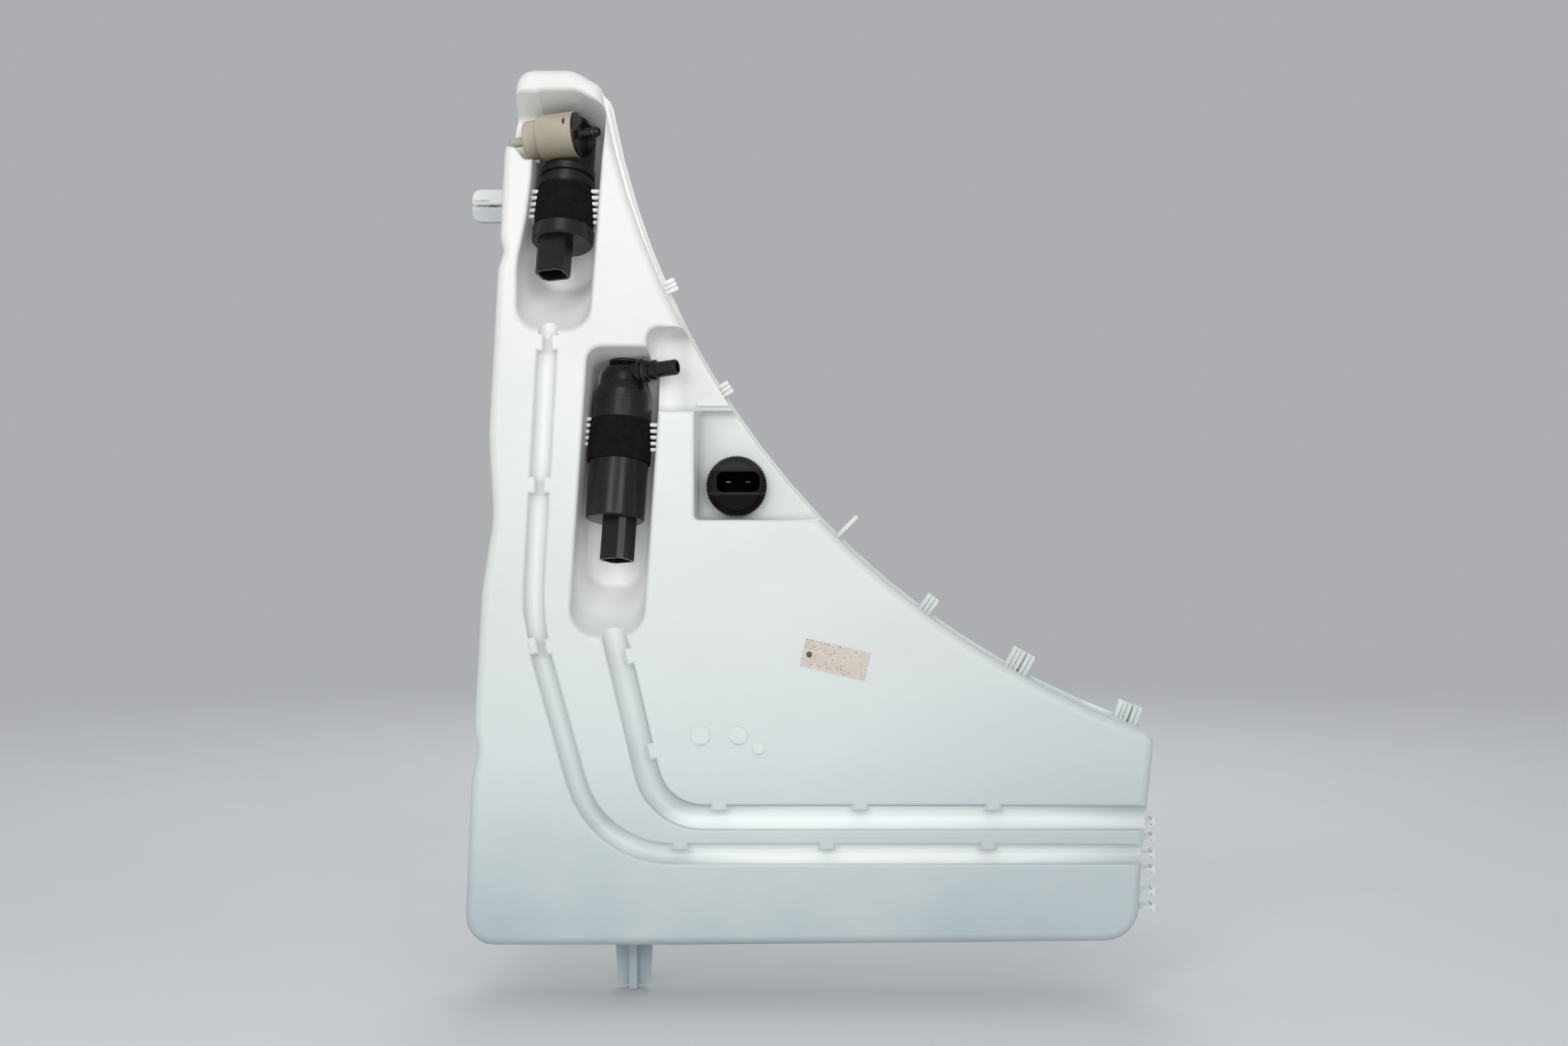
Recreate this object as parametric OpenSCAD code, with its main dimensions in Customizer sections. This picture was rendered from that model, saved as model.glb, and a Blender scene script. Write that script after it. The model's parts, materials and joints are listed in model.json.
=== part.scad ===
// Washer fluid reservoir with a windscreen washer pump, a headlamp washer pump and a level sensor.
// Origin at the root of the lower locating peg on the weld plane; the front faces -Y, up is +Z.

/* [Tank] */
// Height of the tank above the root of its locating peg
tank_h = 544; // [520:0.5:570]
// Reach of the lower edge to the left of the peg
foot_left = 102; // [98:0.5:106]
// Reach of the lower edge to the right of the peg
foot_right = 317; // [312:0.5:322]
// Radius of the concave wheel-arch edge
arch_r = 523.5; // [500:0.5:560]
// Depth of the front shell, from its face to the weld plane
front_depth = 54; // [53:0.5:60]
// Depth of the rear shell, from the weld plane to its back
rear_depth = 30; // [28:0.5:40]
// Wall thickness of both shells
wall = 2.5; // [2:0.1:3]
// Rounding of the front edge
edge_r = 6; // [4:0.5:8]
// Rounding of the back edge
rear_edge_r = 8; // [5:0.5:10]
// Mould draft: how far the side walls lean in from the weld plane to either face
wall_lean = 0.6; // [0.3:0.1:1]
// Reach of the weld flange beyond the edge of the face
flange_w = 2.6; // [2:0.1:4]
// Thickness of each half of the weld flange
flange_t = 2.2; // [1.5:0.1:3]

/* [Pump bays] */
// Depth of the washer pump bay
washer_bay_depth = 50.5; // [48:0.5:51]
// Depth of the headlamp pump bay
headlamp_bay_depth = 49; // [47:0.5:51]
// Depth of the side scoop beside the valve drum
scoop_depth = 34; // [33:0.5:38]
// Depth of the hose exit beside the headlamp pump
exit_depth = 35; // [32:0.5:38]
// Depth of the level sensor bay
sensor_bay_depth = 41; // [39.5:0.5:44]
// Rounding of the rims of the bays
rim_r = 2.5; // [1.5:0.1:3]
// Fillet between the walls and the floor of a bay
floor_r = 5; // [3:0.5:6]
// Thickness of a gripping rib
rib_t = 2.4; // [1.8:0.1:2.8]
// Spacing of the gripping ribs
rib_pitch = 3.9; // [3.5:0.1:4.5]

/* [Hose grooves] */
// Width of the groove from the washer pump
groove_a_w = 11.7; // [10:0.1:13]
// Width of the groove from the headlamp pump
groove_b_w = 14.8; // [13:0.1:16]
// Depth of both grooves
groove_depth = 8.5; // [8:0.1:10]
// Length of a hose retaining tab
tab_l = 10.5; // [8:0.5:13]
// Reach of a tab over its groove
tab_reach = 3.6; // [2:0.1:4.5]

/* [Fixings] */
// Length of the lower locating peg
peg_l = 35.5; // [30:0.5:42]
// Width of the peg at its root
peg_w = 25; // [20:0.5:30]
// Height of the side locating lug
lug_h = 20.5; // [17:0.5:25]
// Length of the side locating lug with its root
lug_l = 25; // [20:0.5:30]
// Inner radius of the filler opening
filler_r = 17; // [14:0.5:20]
// Height of the filler collar above the back
filler_collar_h = 10; // [6:0.5:14]

/* [Washer pump] */
// Outer radius of the washer pump motor
washer_r = 17; // [16.4:0.1:17.4]
// Wall thickness of both pump housings
pump_wall = 1.6; // [1.4:0.1:2]
// Thickness of both foam sleeves
foam_t = 1.6; // [1.2:0.1:1.9]
// Length of both foam sleeves
foam_l = 27; // [24:0.5:28]
// Outer radius of the valve drum
drum_r = 14.4; // [13.6:0.1:14.8]
// Pitch of the washer pump, its connector leaning out of the bay
washer_pitch = 17; // [15:0.5:18]

/* [Headlamp pump] */
// Outer radius of the headlamp pump motor
headlamp_r = 18.5; // [17.8:0.1:18.7]
// Length of the headlamp pump motor below the middle of its sleeve
headlamp_motor_l = 50; // [46:0.5:54]
// Outer radius of the headlamp hose spigot
outlet_r = 5; // [4.5:0.1:5.6]
// Pitch of the headlamp pump, its connector leaning out of the bay
headlamp_pitch = 12; // [10:0.5:13]

/* [Connectors] */
// Width of a pump connector shroud
plug_w = 19; // [17:0.5:20]
// Depth of a pump connector shroud
plug_d = 16.5; // [15:0.5:17]
// Length of the terminals inside a shroud
blade_l = 9; // [6:0.5:12]

/* [Level sensor] */
// Radius of the knurled sensor head
sensor_r = 19.5; // [18:0.1:20]
// Length of the float paddle
float_l = 18; // [14:0.5:18]

/* [Hidden] */
$fn = 64;
white = [0.92, 0.94, 0.93];
black = [0.07, 0.07, 0.075];
beige = [0.83, 0.79, 0.71];
rubber = [0.12, 0.12, 0.12];
metal = [0.72, 0.72, 0.7];

// Largest chord error of a curve, least radius of an inset corner, and the overshoot of a cut
sag = 0.22;
least_r = 0.4;
over = 1;
// Clearances: pieces seated in one another, pieces side by side, and running shafts
seat = 0.1;
gap = 0.3;
running = 0.05;
depth = front_depth + rear_depth;

function unit(v) = v / norm(v);
function left_of(v) = [-v[1], v[0]];
function flat(p) = [p[0], p[1]];
function side_dir(a, b) = unit(flat(b) - flat(a));

// Angle by which the way from a through b to c turns left
function turn_at(a, b, c) =
    let (u = side_dir(a, b), v = side_dir(b, c))
    atan2(u[0] * v[1] - u[1] * v[0], u * v);

// Chords that round corner b; a corner that hardly turns gets none
function chords_at(a, b, c) =
    let (turn = abs(turn_at(a, b, c)))
    turn < 1 ? 0 : ceil(turn / (2 * acos(1 - sag / max(b[2], 2))));

// Bisector of corner b, as long as the move that shifts both its sides by one
function mitre_at(a, b, c) =
    let (nu = left_of(side_dir(a, b)), nv = left_of(side_dir(b, c)))
    (nu + nv) / (1 + nu * nv);

// Signed radius of corner b when its loop is moved inwards by inset
function radius_at(a, b, c, inset) = turn_at(a, b, c) > 0 ? max(b[2] - inset, least_r) : -(b[2] + inset);

// Centre of the arc at corner b
function centre_at(a, b, c, inset) = flat(b) + (inset + radius_at(a, b, c, inset)) * mitre_at(a, b, c);

// Arc of n chords that rounds corner b, with the loop moved inwards by inset
function corner_arc(a, b, c, inset, n) =
    let (s = radius_at(a, b, c, inset), centre = centre_at(a, b, c, inset), turn = turn_at(a, b, c))
    let (nu = left_of(side_dir(a, b)), start = atan2(nu[1], nu[0]))
    n == 0 ? [flat(b) + inset * mitre_at(a, b, c)]
        : [for (i = [0 : n]) centre - s * [cos(start + turn * i / n), sin(start + turn * i / n)]];

function before(list, i) = list[(i + len(list) - 1) % len(list)];
function after(list, i) = list[(i + 1) % len(list)];

// Chords of every corner of a closed loop
function chords(corners) =
    [for (i = [0 : len(corners) - 1]) chords_at(before(corners, i), corners[i], after(corners, i))];

// Closed loop of rounded corners, moved inwards by inset
function rounded_loop(corners, inset, n) =
    [for (i = [0 : len(corners) - 1])
        each corner_arc(before(corners, i), corners[i], after(corners, i), inset, n[i])];

// Outline polygon with rounded corners
function rounded(corners) = rounded_loop(corners, 0, chords(corners));

// Open path of rounded corners
function rounded_path(corners) =
    let (last = len(corners) - 1)
    [flat(corners[0]),
     for (i = [1 : last - 1])
        each corner_arc(corners[i - 1], corners[i], corners[i + 1], 0,
                        chords_at(corners[i - 1], corners[i], corners[i + 1])),
     flat(corners[last])];

// Loop at depth y behind the face
function ring(corners, y, inset, n) = [for (p = rounded_loop(corners, inset, n)) [p[0], y, p[1]]];

// Arch edge: an arc between two ends, with a straight run from each end to the next corner
arch_low = [foot_right - 1.2, 134.7];
arch_high = [-15.4, tank_h - 18.3];
arch_run = [12.3, 8.5];
arch_half = norm(arch_high - arch_low) / 2;
arch_rise = sqrt(arch_r * arch_r - arch_half * arch_half);
arch_inward = left_of(side_dir(arch_low, arch_high));
arch_centre = (arch_low + arch_high) / 2 - arch_rise * arch_inward;
arch_vertex = (arch_low + arch_high) / 2 + arch_half * arch_half / arch_rise * arch_inward;
arch_foot = arch_low + arch_run[0] * side_dir(arch_vertex, arch_low);
arch_head = arch_high + arch_run[1] * side_dir(arch_vertex, arch_high);

// Place of the arch edge at height z
function arch_x(z) = arch_centre[0] - sqrt(arch_r * arch_r - (z - arch_centre[1]) * (z - arch_centre[1]));

// Corners of the tank's face as [x, z, radius], anticlockwise from the middle of the lower edge
foot_mid = 34;
foot_rise = 2.7;
outline = [
    [foot_mid, 0, 1],
    [foot_right, foot_rise, 22],
    [foot_right + 2, 50, 200],
    [arch_foot[0], arch_foot[1], 8],
    [arch_vertex[0], arch_vertex[1], arch_r],
    [arch_head[0], arch_head[1], 8],
    [-34.5, tank_h, 16],
    [-68.6, tank_h, 11],
    [-70.4, tank_h - 18, 14],
    [-77, tank_h - 48, 60],
    [-79.7, tank_h - 104, 12],
    [-77.6, tank_h - 112.5, 6],
    [-81.2, tank_h - 124, 12],
    [-87, 316, 90],
    [-84, 266, 70],
    [-91.3, 220, 60],
    [-96, 136.5, 14],
    [-93.6, 121, 8],
    [-97.5, 101, 12],
    [-foot_left, 0, 18]];

outline_chords = chords(outline);
function outline_ring(y, inset) = ring(outline, y, inset, outline_chords);

// Skin through a stack of closed rings with equal point counts
module skin(rings) {
    n = len(rings[0]);
    last = (len(rings) - 1) * n;
    near = [for (i = [0 : n - 1]) (n - i) % n];
    far = [for (i = [0 : n - 1]) last + i];
    sides = [for (j = [0 : len(rings) - 2], i = [0 : n - 1])
        let (a = j * n + i, b = j * n + (i + 1) % n)
        each [[a, b, b + n], [a, b + n, a + n]]];
    polyhedron(points = [for (r = rings) each r], faces = concat([near, far], sides), convexity = 8);
}

// Moves a form measured from the front face to its place about the weld plane
module on_face() {
    translate([0, -front_depth, 0]) children();
}

// Steps of a rounded edge, as angles
edge_steps = [0 : 22.5 : 90];
coarse_steps = [0 : 45 : 90];
fine_steps = [0 : 30 : 90];

// Rings of a half shell from its face to the weld plane; inset is how far it lies inside the face
function half_rings(face_y, weld_y, r, inset, steps) =
    let (dir = weld_y > face_y ? 1 : -1)
    concat([for (t = steps) outline_ring(face_y + dir * r * (1 - cos(t)), inset + r * (1 - sin(t)))],
           [outline_ring(weld_y, inset - wall_lean)]);

// Rings of the weld flange between two depths
function flange_rings(y0, y1) = [outline_ring(y0, -flange_w), outline_ring(y1, -flange_w)];

function reversed(list) = [for (i = [len(list) - 1 : -1 : 0]) list[i]];

module front_outer() {
    skin(concat(half_rings(0, front_depth - flange_t, edge_r, 0, edge_steps),
                flange_rings(front_depth - flange_t, front_depth)));
}

module front_inner() {
    skin(half_rings(wall, front_depth + over, edge_r - wall, wall, coarse_steps));
}

module rear_outer() {
    skin(concat(flange_rings(front_depth, front_depth + flange_t),
                reversed(half_rings(depth, front_depth + flange_t, rear_edge_r, 0, edge_steps))));
}

module rear_inner() {
    skin(reversed(half_rings(depth - wall, front_depth - over, rear_edge_r - wall, wall, coarse_steps)));
}

// Bay sunk into the face: rim corners at the face, foot corners at the floor, walls grown by grow
module bay(rim, foot, floor_y, grow) {
    n = chords(rim);
    share = (floor_r + grow) / (floor_y + grow);
    wall_corners = [for (i = [0 : len(rim) - 1]) foot[i] + (rim[i] - foot[i]) * share];
    lip_corners = [for (i = [0 : len(rim) - 1]) rim[i] + (foot[i] - rim[i]) * rim_r / floor_y];
    lip = grow > 0
        ? [ring(rim, -over, -grow, n)]
        : concat([ring(rim, -over, -rim_r, n)],
                 [for (t = [0 : 30 : 60]) ring(rim, rim_r * (1 - cos(t)), -rim_r * (1 - sin(t)), n)],
                 [ring(lip_corners, rim_r, 0, n)]);
    fillet = [for (t = fine_steps)
        ring(wall_corners, floor_y + grow - floor_r * (1 - sin(t)), -grow + floor_r * (1 - cos(t)), n)];
    skin(concat(lip, fillet));
}

// Corners measured from a height, lifted to it
function lifted(corners, z) = [for (c = corners) [c[0], c[1] + z, c[2]]];

// Washer pump bay: corners measured from its upper wall, which is square to the pump
washer_bay_l = 149;
washer_bay_top = tank_h - 13;
washer_bay_low = washer_bay_top - washer_bay_l;
washer_bay_slope = washer_bay_depth * tan(washer_pitch);
washer_rim = lifted([[-46, -washer_bay_l, 1], [-24.3, -washer_bay_l, 15], [-16, -41, 60], [-12.5, -10, 5],
                     [-32, 0, 10], [-58, 0, 5], [-59.6, -53, 40], [-62.8, -79, 40], [-68.6, -107, 40],
                     [-69.4, -washer_bay_l, 15]], washer_bay_top);
washer_foot = concat(lifted([[-46, -117, 1], [-27, -117, 14]], washer_bay_top),
                     lifted([[-20.5, -41, 60], [-20, -7, 6], [-27, 0, 8], [-57, 0, 6]],
                            washer_bay_top - washer_bay_slope),
                     lifted([[-59.6, -66, 40], [-61.5, -82, 40], [-62.8, -95, 40], [-63, -117, 14]],
                            washer_bay_top));

// Scoop beside the valve drum, open at the left wall; its lower edge steps down to clear the drum
scoop_reach = -95;
scoop_top = washer_bay_top - 1;
scoop_slope = scoop_depth * tan(washer_pitch);
scoop_rim = lifted([[-68, 0, 1], [scoop_reach, 0, 3], [scoop_reach, -34, 3], [-70, -34, 4], [-64.5, -42, 3],
                    [-50, -42, 6], [-50, 0, 6]], scoop_top);
scoop_foot = concat(lifted([[-68, 0, 1], [scoop_reach, 0, 3]], scoop_top - scoop_slope),
                    lifted([[scoop_reach, -31, 3], [-71, -31, 4], [-65.5, -39, 3], [-52, -39, 6]], scoop_top),
                    lifted([[-52, 0, 6]], scoop_top - scoop_slope));

// Headlamp pump bay, placed from the middle of the tank's height; its upper wall is square to the pump
headlamp_rise = 41.1;
headlamp_z = tank_h / 2 + headlamp_rise;
headlamp_bay_l = 180;
headlamp_bay_rise = 58.9;
headlamp_bay_top = headlamp_z + headlamp_bay_rise;
headlamp_bay_low = headlamp_bay_top - headlamp_bay_l;
headlamp_bay_slope = headlamp_bay_depth * tan(headlamp_pitch);
headlamp_rim = lifted([[-11, -headlamp_bay_l, 1], [9, -headlamp_bay_l, 16], [19, -40, 200], [20.5, 0, 6],
                       [-25, 0, 9], [-36.6, -headlamp_bay_l, 16]], headlamp_bay_top);
headlamp_foot = concat(lifted([[-10, -150, 1], [6, -150, 14]], headlamp_bay_top),
                       lifted([[15.5, -40, 200], [17, 0, 8], [-22.5, 0, 8]],
                              headlamp_bay_top - headlamp_bay_slope),
                       lifted([[-31.5, -150, 14]], headlamp_bay_top));

// Hose exit from the headlamp pump; open_reach is how far an open bay runs on beyond the arch edge
open_reach = 13;
exit_low = headlamp_z + 18.9;
exit_high = exit_low + 52;
exit_reach = arch_x(exit_low) + open_reach;
exit_rim = [[24, exit_low, 1], [exit_reach, exit_low, 3], [exit_reach, exit_high, 3],
            [12, exit_high, 7], [10.5, exit_low, 3]];
exit_foot = [[24, exit_low + 2, 1], [exit_reach, exit_low + 2, 3], [exit_reach, exit_high - 3, 3],
             [13.5, exit_high - 3, 7], [12.5, exit_low + 2, 3]];

// Level sensor, set in from the arch edge, and its bay, which is open at that edge and clears the flat of its head
sensor_drop = 27.2;
sensor_inset = 33.3;
head_flat = 18.7;
sensor_room = 2.8;
sensor_z = headlamp_z - sensor_drop;
sensor_x = arch_x(sensor_z) - sensor_inset;
sensor_bay_left = sensor_x - 25.4;
sensor_bay_low = sensor_z - head_flat - sensor_room;
sensor_bay_high = exit_low + 5;
sensor_reach = arch_x(sensor_bay_low) + open_reach;
sensor_rim = [[sensor_x, sensor_bay_low, 1], [sensor_reach, sensor_bay_low, 3], [sensor_reach, sensor_bay_high, 3],
              [sensor_bay_left, sensor_bay_high, 3], [sensor_bay_left, sensor_bay_low, 3]];
sensor_foot = [[sensor_x, sensor_bay_low + 0.6, 1], [sensor_reach, sensor_bay_low + 0.6, 3],
               [sensor_reach, sensor_bay_high - 4, 3], [sensor_bay_left + 2, sensor_bay_high - 4, 3],
               [sensor_bay_left + 1, sensor_bay_low + 0.6, 3]];

// Low ridge between the hose exit and the sensor bay, widening towards the arch edge
ridge_t = 3.5;
ridge_h = 2.5;
ridge_slope = 0.39;

module exit_ridge() {
    widening = ridge_slope * (sensor_reach - sensor_bay_left);
    intersection() {
        translate([0, exit_depth + wall / 2, sensor_bay_high]) rotate([90, 0, 0])
            linear_extrude(ridge_h + wall / 2)
                polygon([[sensor_bay_left, 0], [sensor_reach, 0], [sensor_reach, ridge_t + widening],
                         [sensor_bay_left, ridge_t]]);
        front_outer();
    }
}

module washer_bay(grow) {
    bay(washer_rim, washer_foot, washer_bay_depth, grow);
}

module headlamp_bay(grow) {
    bay(headlamp_rim, headlamp_foot, headlamp_bay_depth, grow);
}

// All bays; grow adds the wall round them
module bays(grow) {
    washer_bay(grow);
    bay(scoop_rim, scoop_foot, scoop_depth, grow);
    headlamp_bay(grow);
    bay(exit_rim, exit_foot, exit_depth, grow);
    bay(sensor_rim, sensor_foot, sensor_bay_depth, grow);
}

// Centre lines of the hose grooves as [x, z, bend radius]
groove_end = foot_right + 30;
groove_a_z = 57;
groove_b_z = 79.8;
groove_a_path = [[-48.6, washer_bay_low + 16, 1], [-59.6, 201, 150], [-19.5, groove_a_z, 62],
                 [groove_end, groove_a_z, 1]];
groove_b_path = [[-11.6, headlamp_bay_low + 14, 1], [18.3, groove_b_z, 36], [groove_end, groove_b_z, 1]];

// Half-round groove section as [across, depth], anticlockwise
function groove_section(w, d) =
    let (r = w / 2)
    [[-r, -over], [r, -over], for (t = [0 : 30 : 180]) [r * cos(t), d - r + r * sin(t)]];

// Groove of width w and depth d swept along a path
module groove(path, w, d) {
    line = rounded_path(path);
    last = len(line) - 1;
    section = groove_section(w, d);
    skin([for (i = [0 : last])
        let (side = left_of(unit(line[min(i + 1, last)] - line[max(i - 1, 0)])))
        [for (s = section) [line[i][0] + s[0] * side[0], s[1], line[i][1] + s[0] * side[1]]]]);
}

module grooves(grow) {
    groove(groove_a_path, groove_a_w + 2 * grow, groove_depth + grow);
    groove(groove_b_path, groove_b_w + 2 * grow, groove_depth + grow);
}

// Hose tabs as [x, z, turn]: each lies along the edge of its groove and reaches over it
tab_t = 1.4;
tab_root = 1.5;
tabs_a = [for (x = [32.5, 123.5, 223.5]) [x, groove_a_z + groove_a_w / 2, 180]];
tabs_b = [for (x = [56.5, 144, 226.5]) [x, groove_b_z + groove_b_w / 2, 180]];
column_z = [washer_bay_low - 7.5, 286];
function first_slope(path) = (path[0][0] - path[1][0]) / (path[0][1] - path[1][1]);
function first_x(path, z) = path[0][0] + (z - path[0][1]) * first_slope(path);
tabs_column = [for (z = column_z)
    let (x = first_x(groove_a_path, z))
    each [[x - groove_a_w / 2, z, -90], [x + groove_a_w / 2, z, 90]]];
bend_a = [-53.6, 186];
bend_turn = 12;
tabs_bend = [[bend_a[0] - groove_a_w / 2, bend_a[1], bend_turn - 90],
             [bend_a[0] + groove_a_w / 2, bend_a[1], bend_turn + 90]];
slant_z = [headlamp_bay_low - 12, 121];
tabs_slant = [for (z = slant_z)
    [first_x(groove_b_path, z) + groove_b_w / 2, z, 90 - atan(first_slope(groove_b_path))]];

module hose_tabs() {
    for (t = concat(tabs_a, tabs_b, tabs_column, tabs_bend, tabs_slant))
        translate([t[0], 0, t[1]])
            rotate([0, -t[2], 0])
                translate([-tab_l / 2, 0, -tab_root])
                    cube([tab_l, tab_t, tab_reach + tab_root]);
}

// Places of the two pumps: the axis points up to the inlet, the front faces -Y
washer_drop = 86.2;
washer_at = [-40.5, 15, tank_h - washer_drop];
washer_lean = 2.5;
washer_roll = 13;
headlamp_at = [-6.5, 22, headlamp_z];
headlamp_lean = 3;
headlamp_roll = 20;

module washer_place() {
    translate(washer_at) rotate([-washer_pitch, washer_lean, 0]) children();
}

module headlamp_place() {
    translate(headlamp_at) rotate([-headlamp_pitch, headlamp_lean, 0]) children();
}

module washer_frame() {
    on_face() washer_place() children();
}

module headlamp_frame() {
    on_face() headlamp_place() children();
}

// Distance from each pump's middle along its axis to the upper wall of its bay
washer_wall_z = (washer_bay_top - washer_at[2]) * cos(washer_pitch) - washer_at[1] * sin(washer_pitch);
headlamp_wall_z = (headlamp_bay_top - headlamp_at[2]) * cos(headlamp_pitch)
                  - headlamp_at[1] * sin(headlamp_pitch);

// Inlet spigots, and the grommets that seal them in the bay walls
washer_inlet_r = 5.5;
washer_inlet_back = 5;
washer_hub_r = 8;
washer_lip_r = 9.4;
headlamp_inlet_r = 6.6;
headlamp_hub_r = 9;
headlamp_lip_r = 10.4;
lip_t = 1.8;

// Hole for an inlet grommet, with the seats of both its lips cut square to the pump
module inlet_cut(hub_r, lip_r, wall_z) {
    translate([0, 0, wall_z - 2 * lip_t]) cylinder(r = lip_r + gap, h = 2 * lip_t);
    translate([0, 0, wall_z - over]) cylinder(r = hub_r + seat, h = wall + 2 * over);
    translate([0, 0, wall_z + wall]) cylinder(r = lip_r + gap, h = 2 * lip_t);
}

washer_foam_r = washer_r + foam_t;
headlamp_foam_r = headlamp_r + foam_t;

// Gripping ribs as rows of [x from, x to, lowest rib against the pump's middle, ribs]
rib_lead = 6;
washer_rows = [[-75, -52, -3.8, 5], [-30, -12, -7.6, 6]];
headlamp_rows = [[-36, -18, -0.8, 5], [6, 24, -4.6, 5]];

// Ribs from a little in front of a pump's axis back to depth y1, with rounded fronts
module rib_rows(rows, at, y1) {
    y0 = at[1] - rib_lead + rib_t / 2;
    for (row = rows, i = [0 : row[3] - 1])
        translate([row[0], y0, at[2] + row[2] + i * rib_pitch]) {
            translate([0, 0, -rib_t / 2]) cube([row[1] - row[0], y1 - y0, rib_t]);
            rotate([0, 90, 0]) cylinder(d = rib_t, h = row[1] - row[0], $fn = 16);
        }
}

module grip_ribs() {
    intersection() {
        difference() {
            rib_rows(washer_rows, washer_at, washer_bay_depth + wall / 2);
            washer_place() cylinder(r = washer_foam_r + gap, h = 4 * foam_l, center = true);
        }
        washer_bay(wall / 2);
    }
    intersection() {
        difference() {
            rib_rows(headlamp_rows, headlamp_at, headlamp_bay_depth + wall / 2);
            headlamp_place() cylinder(r = headlamp_foam_r + gap, h = 4 * foam_l, center = true);
        }
        headlamp_bay(wall / 2);
    }
}

// Clip combs on the arch edge as [share of the way round, tines, length]; from the fourth tine on a slit wider
arch_from = atan2(arch_high[1] - arch_centre[1], arch_high[0] - arch_centre[0]);
arch_to = atan2(arch_low[1] - arch_centre[1], arch_low[0] - arch_centre[0]);
tine_w = 2.6;
tine_pitch = 2.9;
tine_slit = 1.2;
tine_d = 6;
tine_y = front_depth - flange_t - tine_d;
combs = [[0.22, 3, 8.4], [0.362, 3, 8.4], [0.586, 1, 19.4], [0.724, 3, 12.4], [0.854, 5, 14.4], [1, 5, 12.4]];

module comb(share, tines, length) {
    angle = arch_from + share * (arch_to - arch_from);
    reach = arch_r + wall / 2;
    for (i = [0 : tines - 1]) {
        slip = (i - (tines - 1) / 2) * tine_pitch + (tines > 3 && i > 2 ? tine_slit : 0);
        a = angle + slip / arch_r * 180 / PI;
        translate([arch_centre[0] + reach * cos(a), tine_y, arch_centre[1] + reach * sin(a)])
            rotate([0, 90 - angle, 0]) {
                translate([-tine_w / 2, 0, -length]) cube([tine_w, tine_d + over, length]);
                translate([0, 0, -length]) rotate([-90, 0, 0]) cylinder(d = tine_w, h = tine_d + over, $fn = 16);
            }
    }
}

module edge_combs() {
    for (c = combs) comb(c[0], c[1], c[2]);
}

// Clip fingers on the right wall: stems with a flared root and a cross head
finger_z = [18.2, 28.2, 42, 51.8, 62.5, 72.5];
finger_reach = 15.7;
finger_t = 2.4;
finger_head = [2, 4.7];
finger_flare = 1.4;
finger_d = 10;
finger_y = 30;
side_slope = 0.05;

module finger(l) {
    stem = finger_t / 2;
    root = stem + finger_flare;
    neck = l - finger_head[0];
    cross = finger_head[1] / 2;
    linear_extrude(finger_d)
        polygon([[-wall / 2, -root], [0, -root], [finger_flare, -stem], [neck, -stem], [neck, -cross], [l, -cross],
                 [l, cross], [neck, cross], [neck, stem], [finger_flare, stem], [0, root], [-wall / 2, root]]);
}

module wall_fingers() {
    for (z = finger_z)
        translate([foot_right + side_slope * z, finger_y + finger_d, z])
            rotate([90, 0, 0]) finger(finger_reach - side_slope * z);
}

// Lower locating peg: a tapered plate with a rib on its front
peg_t = 3.2;
peg_rib_w = 5;
peg_rib_d = 11;
peg_tip_w = peg_w - 4;
peg_bevel = 3;
peg_rib_over = 1.5;

module peg() {
    translate([0, front_depth, 0]) rotate([90, 0, 0]) {
        linear_extrude(peg_t)
            polygon([[-peg_w / 2, wall / 2], [-peg_tip_w / 2, peg_bevel - peg_l],
                     [peg_bevel - peg_tip_w / 2, -peg_l], [peg_tip_w / 2 - peg_bevel, -peg_l],
                     [peg_tip_w / 2, peg_bevel - peg_l], [peg_w / 2, wall / 2]]);
        translate([-peg_rib_w / 2, -peg_l - peg_rib_over, 0])
            cube([peg_rib_w, peg_l + peg_rib_over + wall / 2, peg_rib_d]);
    }
}

// Side locating lug: a rounded tongue with a crease along its middle
lug_z = tank_h - 77.5;
lug_t = 9;
lug_root = -78.3;
lug_round = 5;
crease = 2.2;

module side_lug() {
    translate([lug_root, front_depth - flange_t + over, lug_z]) rotate([90, 0, 0])
        difference() {
            linear_extrude(lug_t)
                polygon(rounded([[-lug_l, -lug_h / 2, lug_round], [0, -lug_h / 2, least_r],
                                 [0, lug_h / 2, least_r], [-lug_l, lug_h / 2, lug_round]]));
            translate([-lug_l - over, 0, lug_t]) rotate([45, 0, 0])
                translate([0, -crease / 2, -crease / 2]) cube([lug_l, crease, crease]);
        }
}

// Raised moulding bosses on the face as [x, z, radius]
boss_h = 0.9;
bosses = [[45, 131, 6], [68.6, 131, 5.5], [81, 123, 3.5]];

module moulding_bosses() {
    for (b = bosses)
        translate([b[0], wall / 2, b[1]]) rotate([90, 0, 0]) cylinder(r = b[2], h = wall / 2 + boss_h, $fn = 32);
}

// Level sensor place: its axis points out of the bay
sensor_at = [sensor_x, sensor_bay_depth, sensor_z];
sensor_hub_r = 12.5;
sensor_lip_r = 14.6;

module sensor_place() {
    translate(sensor_at) rotate([90, 0, 0]) children();
}

module sensor_frame() {
    on_face() sensor_place() children();
}

module front_shell() {
    color(white)
    on_face()
    difference() {
        union() {
            difference() {
                front_outer();
                difference() {
                    front_inner();
                    bays(wall);
                    grooves(wall);
                }
                bays(0);
                grooves(0);
            }
            grip_ribs();
            exit_ridge();
            intersection() {
                hose_tabs();
                front_outer();
            }
            edge_combs();
            wall_fingers();
            peg();
            side_lug();
            moulding_bosses();
        }
        washer_place() translate([0, washer_inlet_back, 0]) inlet_cut(washer_hub_r, washer_lip_r, washer_wall_z);
        headlamp_place() inlet_cut(headlamp_hub_r, headlamp_lip_r, headlamp_wall_z);
        sensor_place() translate([0, 0, -2 * wall]) cylinder(r = sensor_hub_r + seat, h = 4 * wall);
    }
}

// Filler opening in the back, on the axis of its collar
filler_at = [259, depth, 62];
collar_t = 3;

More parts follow.
